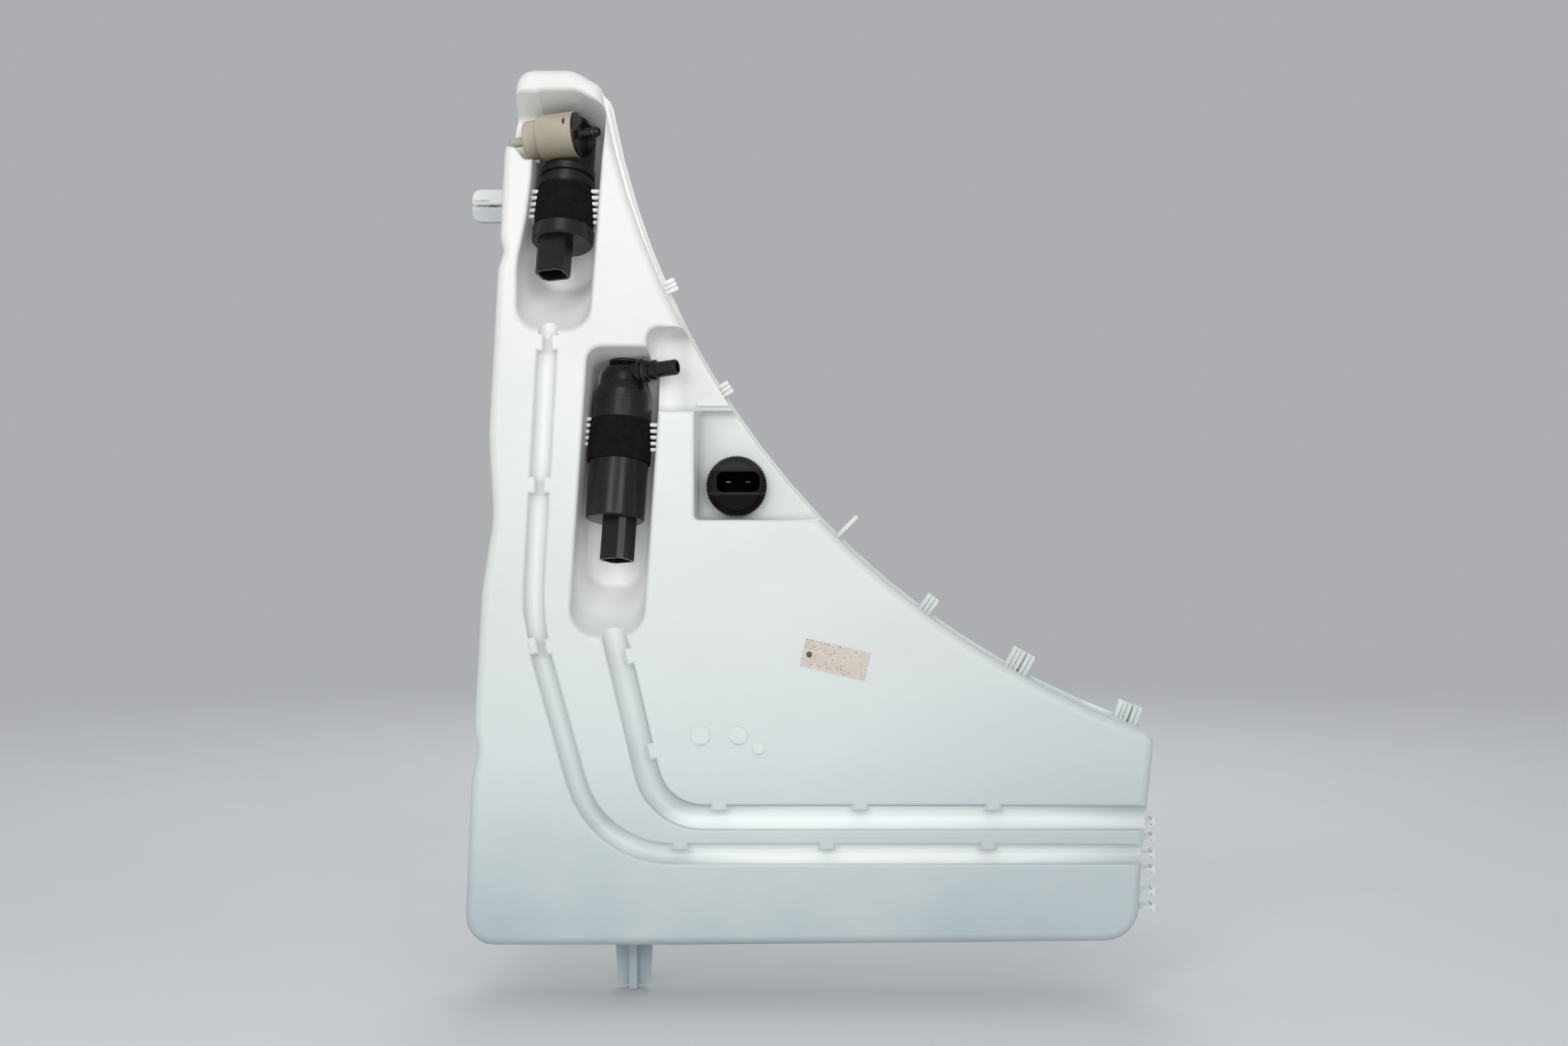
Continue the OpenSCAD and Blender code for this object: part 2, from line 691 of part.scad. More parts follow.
module rear_shell() {
    color(white)
    on_face()
    difference() {
        union() {
            difference() {
                rear_outer();
                rear_inner();
            }
            translate(filler_at) rotate([90, 0, 0])
                translate([0, 0, -filler_collar_h]) cylinder(r = filler_r + collar_t, h = filler_collar_h + wall);
        }
        translate(filler_at) rotate([90, 0, 0])
            translate([0, 0, -filler_collar_h - over]) cylinder(r = filler_r, h = filler_collar_h + wall + 2 * over);
    }
}

// Bare sticker on the face
label_at = [128.7, 178];
label_size = [41, 17.5];
label_t = 0.25;
label_turn = 13;

module label() {
    color([0.85, 0.84, 0.78])
    on_face()
    translate([label_at[0], 0, label_at[1]]) rotate([90, label_turn, 0])
        linear_extrude(label_t)
            translate(-label_size / 2) square(label_size);
}

// Solid of revolution from a profile of [radius, z] points
module turned(profile) {
    rotate_extrude() polygon(profile);
}

// Tube between two heights
module tube(outer, inner, z0, z1) {
    translate([0, 0, z0])
        difference() {
            cylinder(r = outer, h = z1 - z0);
            translate([0, 0, -over]) cylinder(r = inner, h = z1 - z0 + 2 * over);
        }
}

// Connector shroud outline with bevelled corners
function shroud_loop(w, d, c) =
    [[-w / 2 + c, -d / 2], [w / 2 - c, -d / 2], [w / 2, -d / 2 + c], [w / 2, d / 2 - c],
     [w / 2 - c, d / 2], [-w / 2 + c, d / 2], [-w / 2, d / 2 - c], [-w / 2, -d / 2 + c]];

shroud_t = 1.7;
bevel = 3;
blade_w = 2.8;
blade_t = 0.8;
blade_gap = 7;

// Connector shroud hanging from height z, with length l
module shroud(z, l) {
    translate([0, 0, z - l])
        difference() {
            linear_extrude(l + over) polygon(shroud_loop(plug_w, plug_d, bevel));
            translate([0, 0, -over])
                linear_extrude(l + over)
                    polygon(shroud_loop(plug_w - 2 * shroud_t, plug_d - 2 * shroud_t, bevel - shroud_t / 2));
        }
}

// Two terminal blades standing below height z
module blades(z) {
    for (side = [-1, 1])
        translate([side * blade_gap / 2 - blade_w / 2, -blade_t / 2, z - blade_l])
            cube([blade_w, blade_t, blade_l]);
}

// Motor proportions shared by both pumps
shaft_r = 1.5;
magnet_t = 4;
end_t = 2.6;

// Washer pump heights along its axis, from the middle of the sleeve
washer_end = -22.5;
washer_band = -foam_l / 2;
washer_band_r = washer_foam_r + 0.6;
washer_joint = 10.5;
joint_lap = 4;
washer_plug_l = 22.5;
washer_bore = washer_r - pump_wall;
washer_neck_r = 15.8;
washer_top = 58;
washer_chamber = [21, 27.5];
washer_chamber_r = 11.5;
drum_z = 44;
drum_tilt = 4;
drum_front = 16.2;
washer_plug_x = -2.5;
washer_plug_front = 4.5;
washer_plug_roll = 20;

// Place of the washer pump's connector under its motor
module washer_plug() {
    rotate([0, 0, -washer_plug_roll]) translate([washer_plug_x, -washer_plug_front, 0]) children();
}

module washer_pump_housing() {
    color(black)
    washer_frame() {
        turned([[0, washer_end], [washer_band_r - 1.2, washer_end], [washer_band_r, washer_end + 1.2],
                [washer_band_r, washer_band], [washer_r, washer_band], [washer_r, washer_joint],
                [washer_bore, washer_joint], [washer_bore, washer_end + end_t],
                [shaft_r + running, washer_end + end_t], [shaft_r + running, washer_end + end_t / 2],
                [0, washer_end + end_t / 2]]);
        washer_plug() shroud(washer_end, washer_plug_l);
    }
}

module washer_pump_sleeve() {
    color(rubber)
    washer_frame() tube(washer_foam_r, washer_r + seat, -foam_l / 2 + seat, foam_l / 2);
}

// Drum frame: its axis runs across the pump, positive to the right
module drum_frame() {
    washer_frame() rotate([0, 0, -washer_roll]) translate([0, -drum_front, drum_z])
        rotate([0, 90 - drum_tilt, 0]) children();
}

// Port from the impeller chamber up into the drum
port_r = 2;
port_front = 8.5;

module drum_port() {
    washer_frame() rotate([0, 0, -washer_roll])
        translate([0, -port_front, washer_chamber[1] - over]) cylinder(r = port_r, h = 10);
}

washer_head_low = foam_l / 2 + 1;

module washer_pump_head() {
    color(black)
    difference() {
        washer_frame() {
            turned([[shaft_r + running, washer_joint - joint_lap], [washer_bore - seat, washer_joint - joint_lap],
                    [washer_bore - seat, washer_joint + seat], [washer_r, washer_joint + seat],
                    [washer_r, washer_head_low], [17.5, washer_head_low], [17.5, washer_head_low + 5],
                    [15.4, washer_head_low + 5.8], [15.4, washer_head_low + 7.5], [17, washer_head_low + 8.2],
                    [17, washer_head_low + 12.5], [washer_neck_r, washer_head_low + 14],
                    [washer_neck_r, washer_top - 2], [washer_neck_r - 2, washer_top], [0, washer_top],
                    [0, washer_chamber[1]], [washer_chamber_r, washer_chamber[1]],
                    [washer_chamber_r, washer_chamber[0]], [shaft_r + running, washer_chamber[0]]]);
            translate([0, washer_inlet_back, washer_top - over])
                cylinder(r = washer_inlet_r, h = washer_wall_z + 9 - washer_top + over);
        }
        washer_frame() translate([0, washer_inlet_back, washer_chamber[1] - over])
            cylinder(r = washer_inlet_r - 1.6, h = washer_wall_z + 12 - washer_chamber[1]);
        drum_frame() cylinder(r = drum_r + seat, h = 100, center = true);
        drum_port();
    }
}

// Lip seals where the shafts leave the motors
seal_t = 3;
seal_r = 5;

module washer_pump_seal() {
    color(rubber)
    washer_frame() tube(seal_r, shaft_r + running, washer_joint - joint_lap - seal_t, washer_joint - joint_lap);
}

// Valve drum along its own axis: nozzle, small section, large section
nozzle_r = 3;
nozzle_root = 0.8;
nozzle_bore = 1.7;
drum_small_r = 12.2;
drum_t = 1.8;
drum_x = [-23, -13.2, 9.8];
nozzle_left = -34;
nozzle_right = 24.6;
cap_t = 1.5;
cap_r = 13.6;

module washer_pump_valve_drum() {
    color(beige)
    difference() {
        drum_frame()
            turned([[nozzle_bore, nozzle_left], [nozzle_r - 0.5, nozzle_left], [nozzle_r, nozzle_left + 1],
                [nozzle_r, drum_x[0] - nozzle_root], [nozzle_r + nozzle_root, drum_x[0]],
                [drum_small_r - 1, drum_x[0]], [drum_small_r, drum_x[0] + 1],
                [drum_small_r, drum_x[1]], [drum_r, drum_x[1]], [drum_r, drum_x[2]],
                [drum_r - drum_t, drum_x[2]], [drum_r - drum_t, drum_x[1] + drum_t],
                [drum_small_r - drum_t, drum_x[1] + drum_t], [drum_small_r - drum_t, drum_x[0] + drum_t],
                [nozzle_bore, drum_x[0] + drum_t]]);
        drum_port();
    }
}

module washer_pump_valve_cap() {
    color(black)
    drum_frame()
        turned([[nozzle_bore, drum_x[2] - 3], [drum_r - drum_t - seat, drum_x[2] - 3],
                [drum_r - drum_t - seat, drum_x[2]], [cap_r, drum_x[2]], [cap_r, drum_x[2] + cap_t],
                [nozzle_r + 1, drum_x[2] + cap_t], [nozzle_r - 0.2, drum_x[2] + cap_t + 1.5],
                [nozzle_r - 0.2, nozzle_right - 5], [nozzle_r + 0.5, nozzle_right - 5],
                [nozzle_r + 0.2, nozzle_right - 3], [nozzle_r - 0.3, nozzle_right - 3],
                [nozzle_r + 0.5, nozzle_right - 2.6], [nozzle_r - 0.6, nozzle_right],
                [nozzle_bore, nozzle_right]]);
}

diaphragm_t = 1.2;

module washer_pump_diaphragm() {
    color(rubber)
    drum_frame()
        translate([0, 0, drum_x[2] - 3 - diaphragm_t])
            cylinder(r = drum_r - drum_t - seat, h = diaphragm_t);
}

// Impeller with straight vanes on a disc
vane_count = 6;
vane_t = 1.2;

module impeller(r, z0, z1) {
    difference() {
        union() {
            translate([0, 0, z0]) cylinder(r = r, h = 1.5);
            translate([0, 0, z0]) cylinder(r = 2 * shaft_r, h = z1 - z0);
            for (i = [0 : vane_count - 1])
                rotate([0, 0, i * 360 / vane_count])
                    translate([shaft_r + 0.6, -vane_t / 2, z0]) cube([r - shaft_r - 1, vane_t, z1 - z0]);
        }
        translate([0, 0, z0 - over]) cylinder(r = shaft_r + running, h = z1 - z0 + 2 * over);
    }
}

// Wound rotor on its shaft
module rotor(r, z0, z1, shaft_z0, shaft_z1) {
    translate([0, 0, shaft_z0]) cylinder(r = shaft_r, h = shaft_z1 - shaft_z0);
    difference() {
        translate([0, 0, z0]) cylinder(r = r, h = z1 - z0);
        for (i = [0 : 2])
            rotate([0, 0, i * 120]) translate([r, 0, z0 - over]) cylinder(r = r / 4, h = z1 - z0 + 2 * over);
    }
}

// Pair of curved magnets
module magnets(outer, z0, z1) {
    for (side = [0, 180])
        rotate([0, 0, side - 75])
            rotate_extrude(angle = 150)
                translate([outer - magnet_t, z0]) square([magnet_t, z1 - z0]);
}

module washer_pump_impeller() {
    color(beige)
    washer_frame() impeller(washer_chamber_r - 1.2, washer_chamber[0] + gap, washer_chamber[1] - gap);
}

module washer_pump_rotor() {
    color(metal)
    washer_frame()
        rotor(washer_bore - magnet_t - 1, washer_end + end_t + 2, washer_joint - joint_lap - seal_t - 1,
              washer_end + end_t / 2 + gap, washer_chamber[1] - gap);
}

module washer_pump_magnets() {
    color([0.25, 0.25, 0.26])
    washer_frame() magnets(washer_bore - seat, washer_end + end_t, washer_joint - joint_lap - seal_t - 1);
}

module washer_pump_terminals() {
    color(metal)
    washer_frame() washer_plug() blades(washer_end);
}

// Grommet seated in a bay wall, round an inlet spigot
module grommet(inlet_r, hub_r, lip_r, wall_z) {
    translate([0, 0, wall_z])
        turned([[inlet_r + seat, -lip_t], [lip_r, -lip_t], [lip_r, 0], [hub_r, 0], [hub_r, wall + seat],
                [lip_r - 0.4, wall + seat], [hub_r - 0.6, wall + 2 * lip_t], [inlet_r + seat, wall + 2 * lip_t]]);
}

// Strainer cup pushed over the end of an inlet spigot
module strainer(inlet_r, z0, l) {
    slots = 6;
    difference() {
        translate([0, 0, z0]) cylinder(r = inlet_r + 1.6, h = l);
        translate([0, 0, z0 - over]) cylinder(r = inlet_r + seat, h = l - 1.4 + over);
        for (i = [0 : slots - 1])
            rotate([0, 0, i * 360 / slots])
                translate([0, -1, z0 + l / 2]) cube([inlet_r + 3, 2, l / 2 - 2.5]);
    }
}

module washer_pump_grommet() {
    color(rubber)
    washer_frame() translate([0, washer_inlet_back, 0])
        grommet(washer_inlet_r, washer_hub_r, washer_lip_r, washer_wall_z);
}

module washer_pump_strainer() {
    color(beige)
    washer_frame() translate([0, washer_inlet_back, 0])
        strainer(washer_inlet_r, washer_wall_z + wall + 2 * lip_t, 10);
}

// Headlamp pump heights along its axis, from the middle of the sleeve
headlamp_bore = headlamp_r - pump_wall;
headlamp_joint = 4;
headlamp_plug_l = 26;
headlamp_top = 50;
headlamp_chamber = [22, 31];
headlamp_chamber_r = 14;
elbow_z = 43.2;
elbow_front = 5;
elbow_r = 6.4;
collar_r = 8;
second_collar_r = 6.9;
outlet_tilt = 5;
headlamp_plug_x = 4;
headlamp_plug_roll = 35;
headlamp_shoulder = 25;
headlamp_dome = [[17.6, 30.5], [14.9, 37.2], [14.3, 42.5], [11.8, 47]];
ring_seat_r = 6;
ring_x = 14.8;
ring_w = 2.4;
outlet_start = ring_x + ring_w + 8;
outlet_end = outlet_start + 13;

// Place of the headlamp pump's connector under its motor
module headlamp_plug() {
    rotate([0, 0, -headlamp_plug_roll]) translate([headlamp_plug_x, 0, 0]) children();
}

module headlamp_pump_housing() {
    color(black)
    headlamp_frame() {
        turned([[0, -headlamp_motor_l], [headlamp_r - 1, -headlamp_motor_l], [headlamp_r, 1 - headlamp_motor_l],
                [headlamp_r, headlamp_joint], [headlamp_bore, headlamp_joint],
                [headlamp_bore, end_t - headlamp_motor_l], [shaft_r + running, end_t - headlamp_motor_l],
                [shaft_r + running, end_t / 2 - headlamp_motor_l], [0, end_t / 2 - headlamp_motor_l]]);
        headlamp_plug() shroud(-headlamp_motor_l, headlamp_plug_l);
    }
}

module headlamp_pump_sleeve() {
    color(rubber)
    headlamp_frame() tube(headlamp_foam_r, headlamp_r + seat, -foam_l / 2, foam_l / 2);
}

// Outlet frame: its axis runs from the head to the hose
module outlet_frame() {
    headlamp_frame() rotate([0, 0, -headlamp_roll]) translate([0, -elbow_front, elbow_z])
        rotate([0, 90 - outlet_tilt, 0]) children();
}

module headlamp_pump_head() {
    color(black)
    difference() {
        union() {
            headlamp_frame()
                turned(concat([[shaft_r + running, headlamp_joint - joint_lap],
                               [headlamp_bore - seat, headlamp_joint - joint_lap],
                               [headlamp_bore - seat, headlamp_joint + seat], [headlamp_r, headlamp_joint + seat],
                               [headlamp_r, headlamp_shoulder]], headlamp_dome,
                              [[8.6, headlamp_top], [headlamp_inlet_r, headlamp_top],
                               [headlamp_inlet_r, headlamp_wall_z + 10], [headlamp_inlet_r - 2, headlamp_wall_z + 10],
                               [headlamp_inlet_r - 2, headlamp_chamber[1]], [headlamp_chamber_r, headlamp_chamber[1]],
                               [headlamp_chamber_r, headlamp_chamber[0]], [shaft_r + running, headlamp_chamber[0]]]));
            difference() {
                outlet_frame()
                    turned([[0, 0], [elbow_r, 0], [elbow_r, ring_x - 3], [collar_r, ring_x - 2.7], [collar_r, ring_x],
                            [ring_seat_r, ring_x], [ring_seat_r, ring_x + ring_w], [second_collar_r, ring_x + ring_w],
                            [second_collar_r, ring_x + ring_w + 2.4], [5.8, ring_x + ring_w + 3],
                            [5.8, ring_x + ring_w + 4.2], [6.5, ring_x + ring_w + 4.6],
                            [6.5, ring_x + ring_w + 7], [outlet_r, outlet_start], [outlet_r, outlet_end - 1],
                            [outlet_r - 0.8, outlet_end], [0, outlet_end]]);
                headlamp_frame() cylinder(r = headlamp_inlet_r - 1, h = 2 * headlamp_top);
            }
        }
        outlet_frame() translate([0, 0, elbow_r + 3]) cylinder(r = outlet_r - 1.4, h = outlet_end);
    }
}

module headlamp_pump_outlet_ring() {
    color([0.04, 0.04, 0.04])
    outlet_frame() tube(second_collar_r + 0.2, ring_seat_r + seat, ring_x + seat, ring_x + ring_w - seat);
}

module headlamp_pump_seal() {
    color(rubber)
    headlamp_frame() tube(seal_r, shaft_r + running, headlamp_joint - joint_lap - seal_t, headlamp_joint - joint_lap);
}

module headlamp_pump_impeller() {
    color(beige)
    headlamp_frame() impeller(headlamp_chamber_r - 1.2, headlamp_chamber[0] + gap, headlamp_chamber[1] - gap);
}

module headlamp_pump_rotor() {
    color(metal)
    headlamp_frame()
        rotor(headlamp_bore - magnet_t - 1, end_t + 6 - headlamp_motor_l, headlamp_joint - 9,
              end_t / 2 + gap - headlamp_motor_l, headlamp_chamber[1] - gap);
}

module headlamp_pump_magnets() {
    color([0.25, 0.25, 0.26])
    headlamp_frame() magnets(headlamp_bore - seat, end_t + 4 - headlamp_motor_l, headlamp_joint - 8);
}

module headlamp_pump_terminals() {
    color(metal)
    headlamp_frame() headlamp_plug() blades(-headlamp_motor_l);
}

module headlamp_pump_grommet() {
    color(rubber)
    headlamp_frame() grommet(headlamp_inlet_r, headlamp_hub_r, headlamp_lip_r, headlamp_wall_z);
}

module headlamp_pump_strainer() {
    color(beige)
    headlamp_frame() strainer(headlamp_inlet_r, headlamp_wall_z + wall + 2 * lip_t, 12);
}

// Level sensor: knurled head, oblong socket, stem through the grommet and ears for the float's pin
knurl_count = 60;
knurl_d = 0.7;
head_t = 7;
cover_r = 15.6;
cover_t = 15;
socket_at = [1.2, 2.6];
socket_size = [27.4, 13];
socket_wall = 1.5;
socket_r = 4;
socket_top = cover_t + 1;
socket_depth = 11;
stem_r = 9.5;
stem_l = 15;
ear_t = 2.2;
ear_w = 6;
pivot_z = 20;
pin_r = 1.2;
float_w = 9;
float_t = 7;

module sensor_socket(grow, h) {
    w = socket_size[0] / 2 + grow;
    d = socket_size[1] / 2 + grow;
    r = socket_r + grow;
    translate([socket_at[0], socket_at[1], 0])
        linear_extrude(h) polygon(rounded([[-w, -d, r], [w, -d, r], [w, d, r], [-w, d, r]]));
}

// Knurled disc with a flat below
module sensor_head() {
    intersection() {
        linear_extrude(head_t)
            polygon([for (i = [0 : 2 * knurl_count - 1])
                (sensor_r - knurl_d * (i % 2)) * [cos(180 * i / knurl_count), sin(180 * i / knurl_count)]]);
        translate([-2 * sensor_r, -head_flat, -over]) cube([4 * sensor_r, 4 * sensor_r, head_t + 2 * over]);
    }
}

module level_sensor_body() {
    color(black)
    sensor_frame() {
        difference() {
            translate([0, 0, lip_t]) {
                sensor_head();
                cylinder(r = cover_r, h = cover_t - lip_t);
                sensor_socket(socket_wall, socket_top - lip_t);
            }
            translate([0, 0, socket_top - socket_depth]) sensor_socket(0, socket_depth + over);
        }
        translate([0, 0, -stem_l]) cylinder(r = stem_r, h = stem_l + lip_t + over);
        for (side = [-1, 1])
            translate([side * (float_w / 2 + gap + ear_t / 2) - ear_t / 2, -ear_w / 2, -pivot_z - ear_w / 2])
                difference() {
                    cube([ear_t, ear_w, pivot_z + ear_w / 2 - stem_l + over]);
                    translate([-over, ear_w / 2, ear_w / 2])
                        rotate([0, 90, 0]) cylinder(r = pin_r + running, h = ear_t + 2 * over);
                }
    }
}

module level_sensor_terminals() {
    color(metal)
    sensor_frame()
        for (side = [-1, 1])
            translate([socket_at[0] + side * 6.2 - blade_w / 2, socket_at[1] - blade_t / 2,
                       socket_top - socket_depth])
                cube([blade_w, blade_t, socket_depth - 4]);
}

module level_sensor_grommet() {
    color(rubber)
    sensor_frame()
        turned([[stem_r + seat, -wall - 2 * lip_t], [sensor_hub_r - 0.6, -wall - 2 * lip_t],
                [sensor_lip_r - 0.4, -wall - seat], [sensor_hub_r, -wall - seat], [sensor_hub_r, 0],
                [sensor_lip_r, 0], [sensor_lip_r, lip_t], [stem_r + seat, lip_t]]);
}

module level_sensor_float() {
    color(beige)
    sensor_frame() translate([0, 0, -pivot_z])
        difference() {
            translate([-float_w / 2, -float_l, -float_t / 2]) cube([float_w, float_l + ear_w / 2, float_t]);
            translate([-float_w, 0, 0]) rotate([0, 90, 0]) cylinder(r = pin_r + running, h = 2 * float_w);
        }
}

module level_sensor_pin() {
    color(metal)
    sensor_frame() translate([-float_w / 2 - gap - ear_t, 0, -pivot_z])
        rotate([0, 90, 0]) cylinder(r = pin_r, h = float_w + 2 * gap + 2 * ear_t);
}

front_shell();
rear_shell();
label();
washer_pump_housing();
washer_pump_sleeve();
washer_pump_head();
washer_pump_seal();
washer_pump_valve_drum();
washer_pump_valve_cap();
washer_pump_diaphragm();
washer_pump_impeller();
washer_pump_rotor();
washer_pump_magnets();
washer_pump_terminals();
washer_pump_grommet();
washer_pump_strainer();
headlamp_pump_housing();
headlamp_pump_sleeve();
headlamp_pump_head();
headlamp_pump_seal();
headlamp_pump_outlet_ring();
headlamp_pump_impeller();
headlamp_pump_rotor();
headlamp_pump_magnets();
headlamp_pump_terminals();
headlamp_pump_grommet();
headlamp_pump_strainer();
level_sensor_body();
level_sensor_terminals();
level_sensor_grommet();
level_sensor_float();
level_sensor_pin();
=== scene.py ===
import json
import math

import bmesh
import bpy
from mathutils import Matrix, Vector, noise


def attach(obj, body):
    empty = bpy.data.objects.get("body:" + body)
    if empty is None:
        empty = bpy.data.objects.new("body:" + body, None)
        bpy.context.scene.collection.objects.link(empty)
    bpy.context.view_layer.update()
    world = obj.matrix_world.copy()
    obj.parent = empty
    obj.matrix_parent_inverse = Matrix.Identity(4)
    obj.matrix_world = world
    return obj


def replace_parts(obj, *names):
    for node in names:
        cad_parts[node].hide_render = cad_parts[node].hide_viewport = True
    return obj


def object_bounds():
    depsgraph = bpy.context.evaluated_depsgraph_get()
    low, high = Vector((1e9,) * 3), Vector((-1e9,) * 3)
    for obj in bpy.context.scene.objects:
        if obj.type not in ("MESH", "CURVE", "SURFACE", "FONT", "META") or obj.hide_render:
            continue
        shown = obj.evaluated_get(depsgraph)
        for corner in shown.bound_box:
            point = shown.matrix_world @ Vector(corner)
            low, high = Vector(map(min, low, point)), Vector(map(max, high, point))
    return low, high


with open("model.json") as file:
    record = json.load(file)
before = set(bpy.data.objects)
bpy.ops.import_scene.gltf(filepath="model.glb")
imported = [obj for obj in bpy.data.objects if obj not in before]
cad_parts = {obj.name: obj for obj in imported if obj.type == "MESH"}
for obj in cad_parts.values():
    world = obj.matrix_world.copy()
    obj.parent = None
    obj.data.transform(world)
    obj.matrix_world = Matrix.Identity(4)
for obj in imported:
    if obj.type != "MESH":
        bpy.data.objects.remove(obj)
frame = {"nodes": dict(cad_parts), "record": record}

cad_box = [list(corner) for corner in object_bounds()]
nodes = frame["nodes"]
scene = bpy.context.scene
MM = 0.001


# Shader helpers

def add(tree, kind, **settings):
    """A new node with its properties and its unlinked inputs set."""
    node = tree.nodes.new(kind)
    for key, value in settings.items():
        if key.startswith("in_"):
            node.inputs[key[3:].replace("_", " ")].default_value = value
        else:
            setattr(node, key, value)
    return node


def ramp(tree, source, stops):
    """A colour ramp fed by source; stops are (place, colour)."""
    node = tree.nodes.new("ShaderNodeValToRGB")
    tree.links.new(source, node.inputs["Fac"])
    elements = node.color_ramp.elements
    while len(elements) < len(stops):
        elements.new(0.5)
    for element, (place, colour) in zip(elements, stops):
        element.position = place
        element.color = (*colour, 1.0)
    return node.outputs["Color"]


def grey(level):
    return (level, level, level)


def mix(tree, factor, a, b):
    """Colour mix; a and b are sockets or colours."""
    node = add(tree, "ShaderNodeMix", data_type="RGBA")
    tree.links.new(factor, node.inputs["Factor"])
    for socket, value in ((node.inputs[6], a), (node.inputs[7], b)):
        if hasattr(value, "is_output"):
            tree.links.new(value, socket)
        else:
            socket.default_value = (*value, 1.0)
    return node.outputs[2]


def math_node(tree, operation, a, b):
    node = add(tree, "ShaderNodeMath", operation=operation)
    for socket, value in zip(node.inputs, (a, b)):
        if hasattr(value, "is_output"):
            tree.links.new(value, socket)
        else:
            socket.default_value = value
    return node.outputs[0]


def group(name, inputs, outputs):
    """An empty shader node group with named inputs, floats or vectors by their values, and typed outputs."""
    tree = bpy.data.node_groups.new(name, "ShaderNodeTree")
    for label, value in inputs:
        kind = "NodeSocketFloat" if isinstance(value, float) else "NodeSocketVector"
        socket = tree.interface.new_socket(label, in_out="INPUT", socket_type=kind)
        socket.default_value = value
    for label, kind in outputs:
        tree.interface.new_socket(label, in_out="OUTPUT", socket_type=kind)
    return tree, tree.nodes.new("NodeGroupInput"), tree.nodes.new("NodeGroupOutput")


def make_soiling():
    """Broad smudges and scattered specks over the object's own coordinates."""
    tree, entry, leave = group(
        "soiling",
        [("Smudge Scale", 14.0), ("Speck Scale", 60.0), ("Speck Size", 0.09), ("Speck Share", 0.5)],
        [("Smudge", "NodeSocketFloat"), ("Specks", "NodeSocketFloat")])
    place = add(tree, "ShaderNodeTexCoord").outputs["Object"]
    broad = add(tree, "ShaderNodeTexNoise", in_Detail=6.0, in_Roughness=0.62)
    tree.links.new(place, broad.inputs["Vector"])
    tree.links.new(entry.outputs["Smudge Scale"], broad.inputs["Scale"])
    smudge = ramp(tree, broad.outputs["Fac"], [(0.38, grey(0.0)), (0.72, grey(1.0))])
    tree.links.new(smudge, leave.inputs["Smudge"])
    cells = add(tree, "ShaderNodeTexVoronoi")
    tree.links.new(place, cells.inputs["Vector"])
    tree.links.new(entry.outputs["Speck Scale"], cells.inputs["Scale"])
    split = add(tree, "ShaderNodeSeparateColor")
    tree.links.new(cells.outputs["Color"], split.inputs["Color"])
    chosen = math_node(tree, "LESS_THAN", split.outputs["Red"], entry.outputs["Speck Share"])
    size = math_node(tree, "MULTIPLY", entry.outputs["Speck Size"], split.outputs["Green"])
    speck = math_node(tree, "LESS_THAN", cells.outputs["Distance"], size)
    tree.links.new(math_node(tree, "MULTIPLY", speck, chosen), leave.inputs["Specks"])
    return tree


def make_grain():
    """Fine surface grain as a bumped normal."""
    tree, entry, leave = group(
        "grain", [("Scale", 400.0), ("Strength", 0.1), ("Distance", 0.0002)],
        [("Normal", "NodeSocketVector"), ("Height", "NodeSocketFloat")])
    place = add(tree, "ShaderNodeTexCoord").outputs["Object"]
    cloud = add(tree, "ShaderNodeTexNoise", in_Detail=4.0, in_Roughness=0.6)
    tree.links.new(place, cloud.inputs["Vector"])
    tree.links.new(entry.outputs["Scale"], cloud.inputs["Scale"])
    bump = add(tree, "ShaderNodeBump")
    tree.links.new(entry.outputs["Strength"], bump.inputs["Strength"])
    tree.links.new(entry.outputs["Distance"], bump.inputs["Distance"])
    tree.links.new(cloud.outputs["Fac"], bump.inputs["Height"])
    tree.links.new(bump.outputs["Normal"], leave.inputs["Normal"])
    tree.links.new(cloud.outputs["Fac"], leave.inputs["Height"])
    return tree


def make_patch():
    """Mask of a ragged ellipsoid about Centre: 1 inside, falling to 0 over the Soft share of its Reach."""
    tree, entry, leave = group(
        "patch",
        [("Centre", (0.0, 0.0, 0.0)), ("Reach", (0.01, 0.01, 0.01)), ("Soft", 0.5), ("Ragged", 0.0),
         ("Ragged Scale", 300.0)],
        [("Mask", "NodeSocketFloat")])
    place = add(tree, "ShaderNodeTexCoord").outputs["Object"]
    offset = add(tree, "ShaderNodeVectorMath", operation="SUBTRACT")
    tree.links.new(place, offset.inputs[0])
    tree.links.new(entry.outputs["Centre"], offset.inputs[1])
    share = add(tree, "ShaderNodeVectorMath", operation="DIVIDE")
    tree.links.new(offset.outputs[0], share.inputs[0])
    tree.links.new(entry.outputs["Reach"], share.inputs[1])
    away = add(tree, "ShaderNodeVectorMath", operation="LENGTH")
    tree.links.new(share.outputs[0], away.inputs[0])
    cloud = add(tree, "ShaderNodeTexNoise", in_Detail=5.0, in_Roughness=0.65)
    tree.links.new(place, cloud.inputs["Vector"])
    tree.links.new(entry.outputs["Ragged Scale"], cloud.inputs["Scale"])
    wander = math_node(tree, "MULTIPLY", math_node(tree, "SUBTRACT", cloud.outputs["Fac"], 0.5),
                       entry.outputs["Ragged"])
    rest = math_node(tree, "SUBTRACT", 1.0, math_node(tree, "ADD", away.outputs["Value"], wander))
    mask = add(tree, "ShaderNodeMath", operation="DIVIDE", use_clamp=True)
    tree.links.new(rest, mask.inputs[0])
    tree.links.new(entry.outputs["Soft"], mask.inputs[1])
    tree.links.new(mask.outputs[0], leave.inputs["Mask"])
    return tree


SOILING = make_soiling()
GRAIN = make_grain()
PATCH = make_patch()


def use(tree, made, **inputs):
    """A group node of a made group, with its inputs set."""
    node = tree.nodes.new("ShaderNodeGroup")
    node.node_tree = made
    for key, value in inputs.items():
        node.inputs[key.replace("_", " ")].default_value = value
    return node


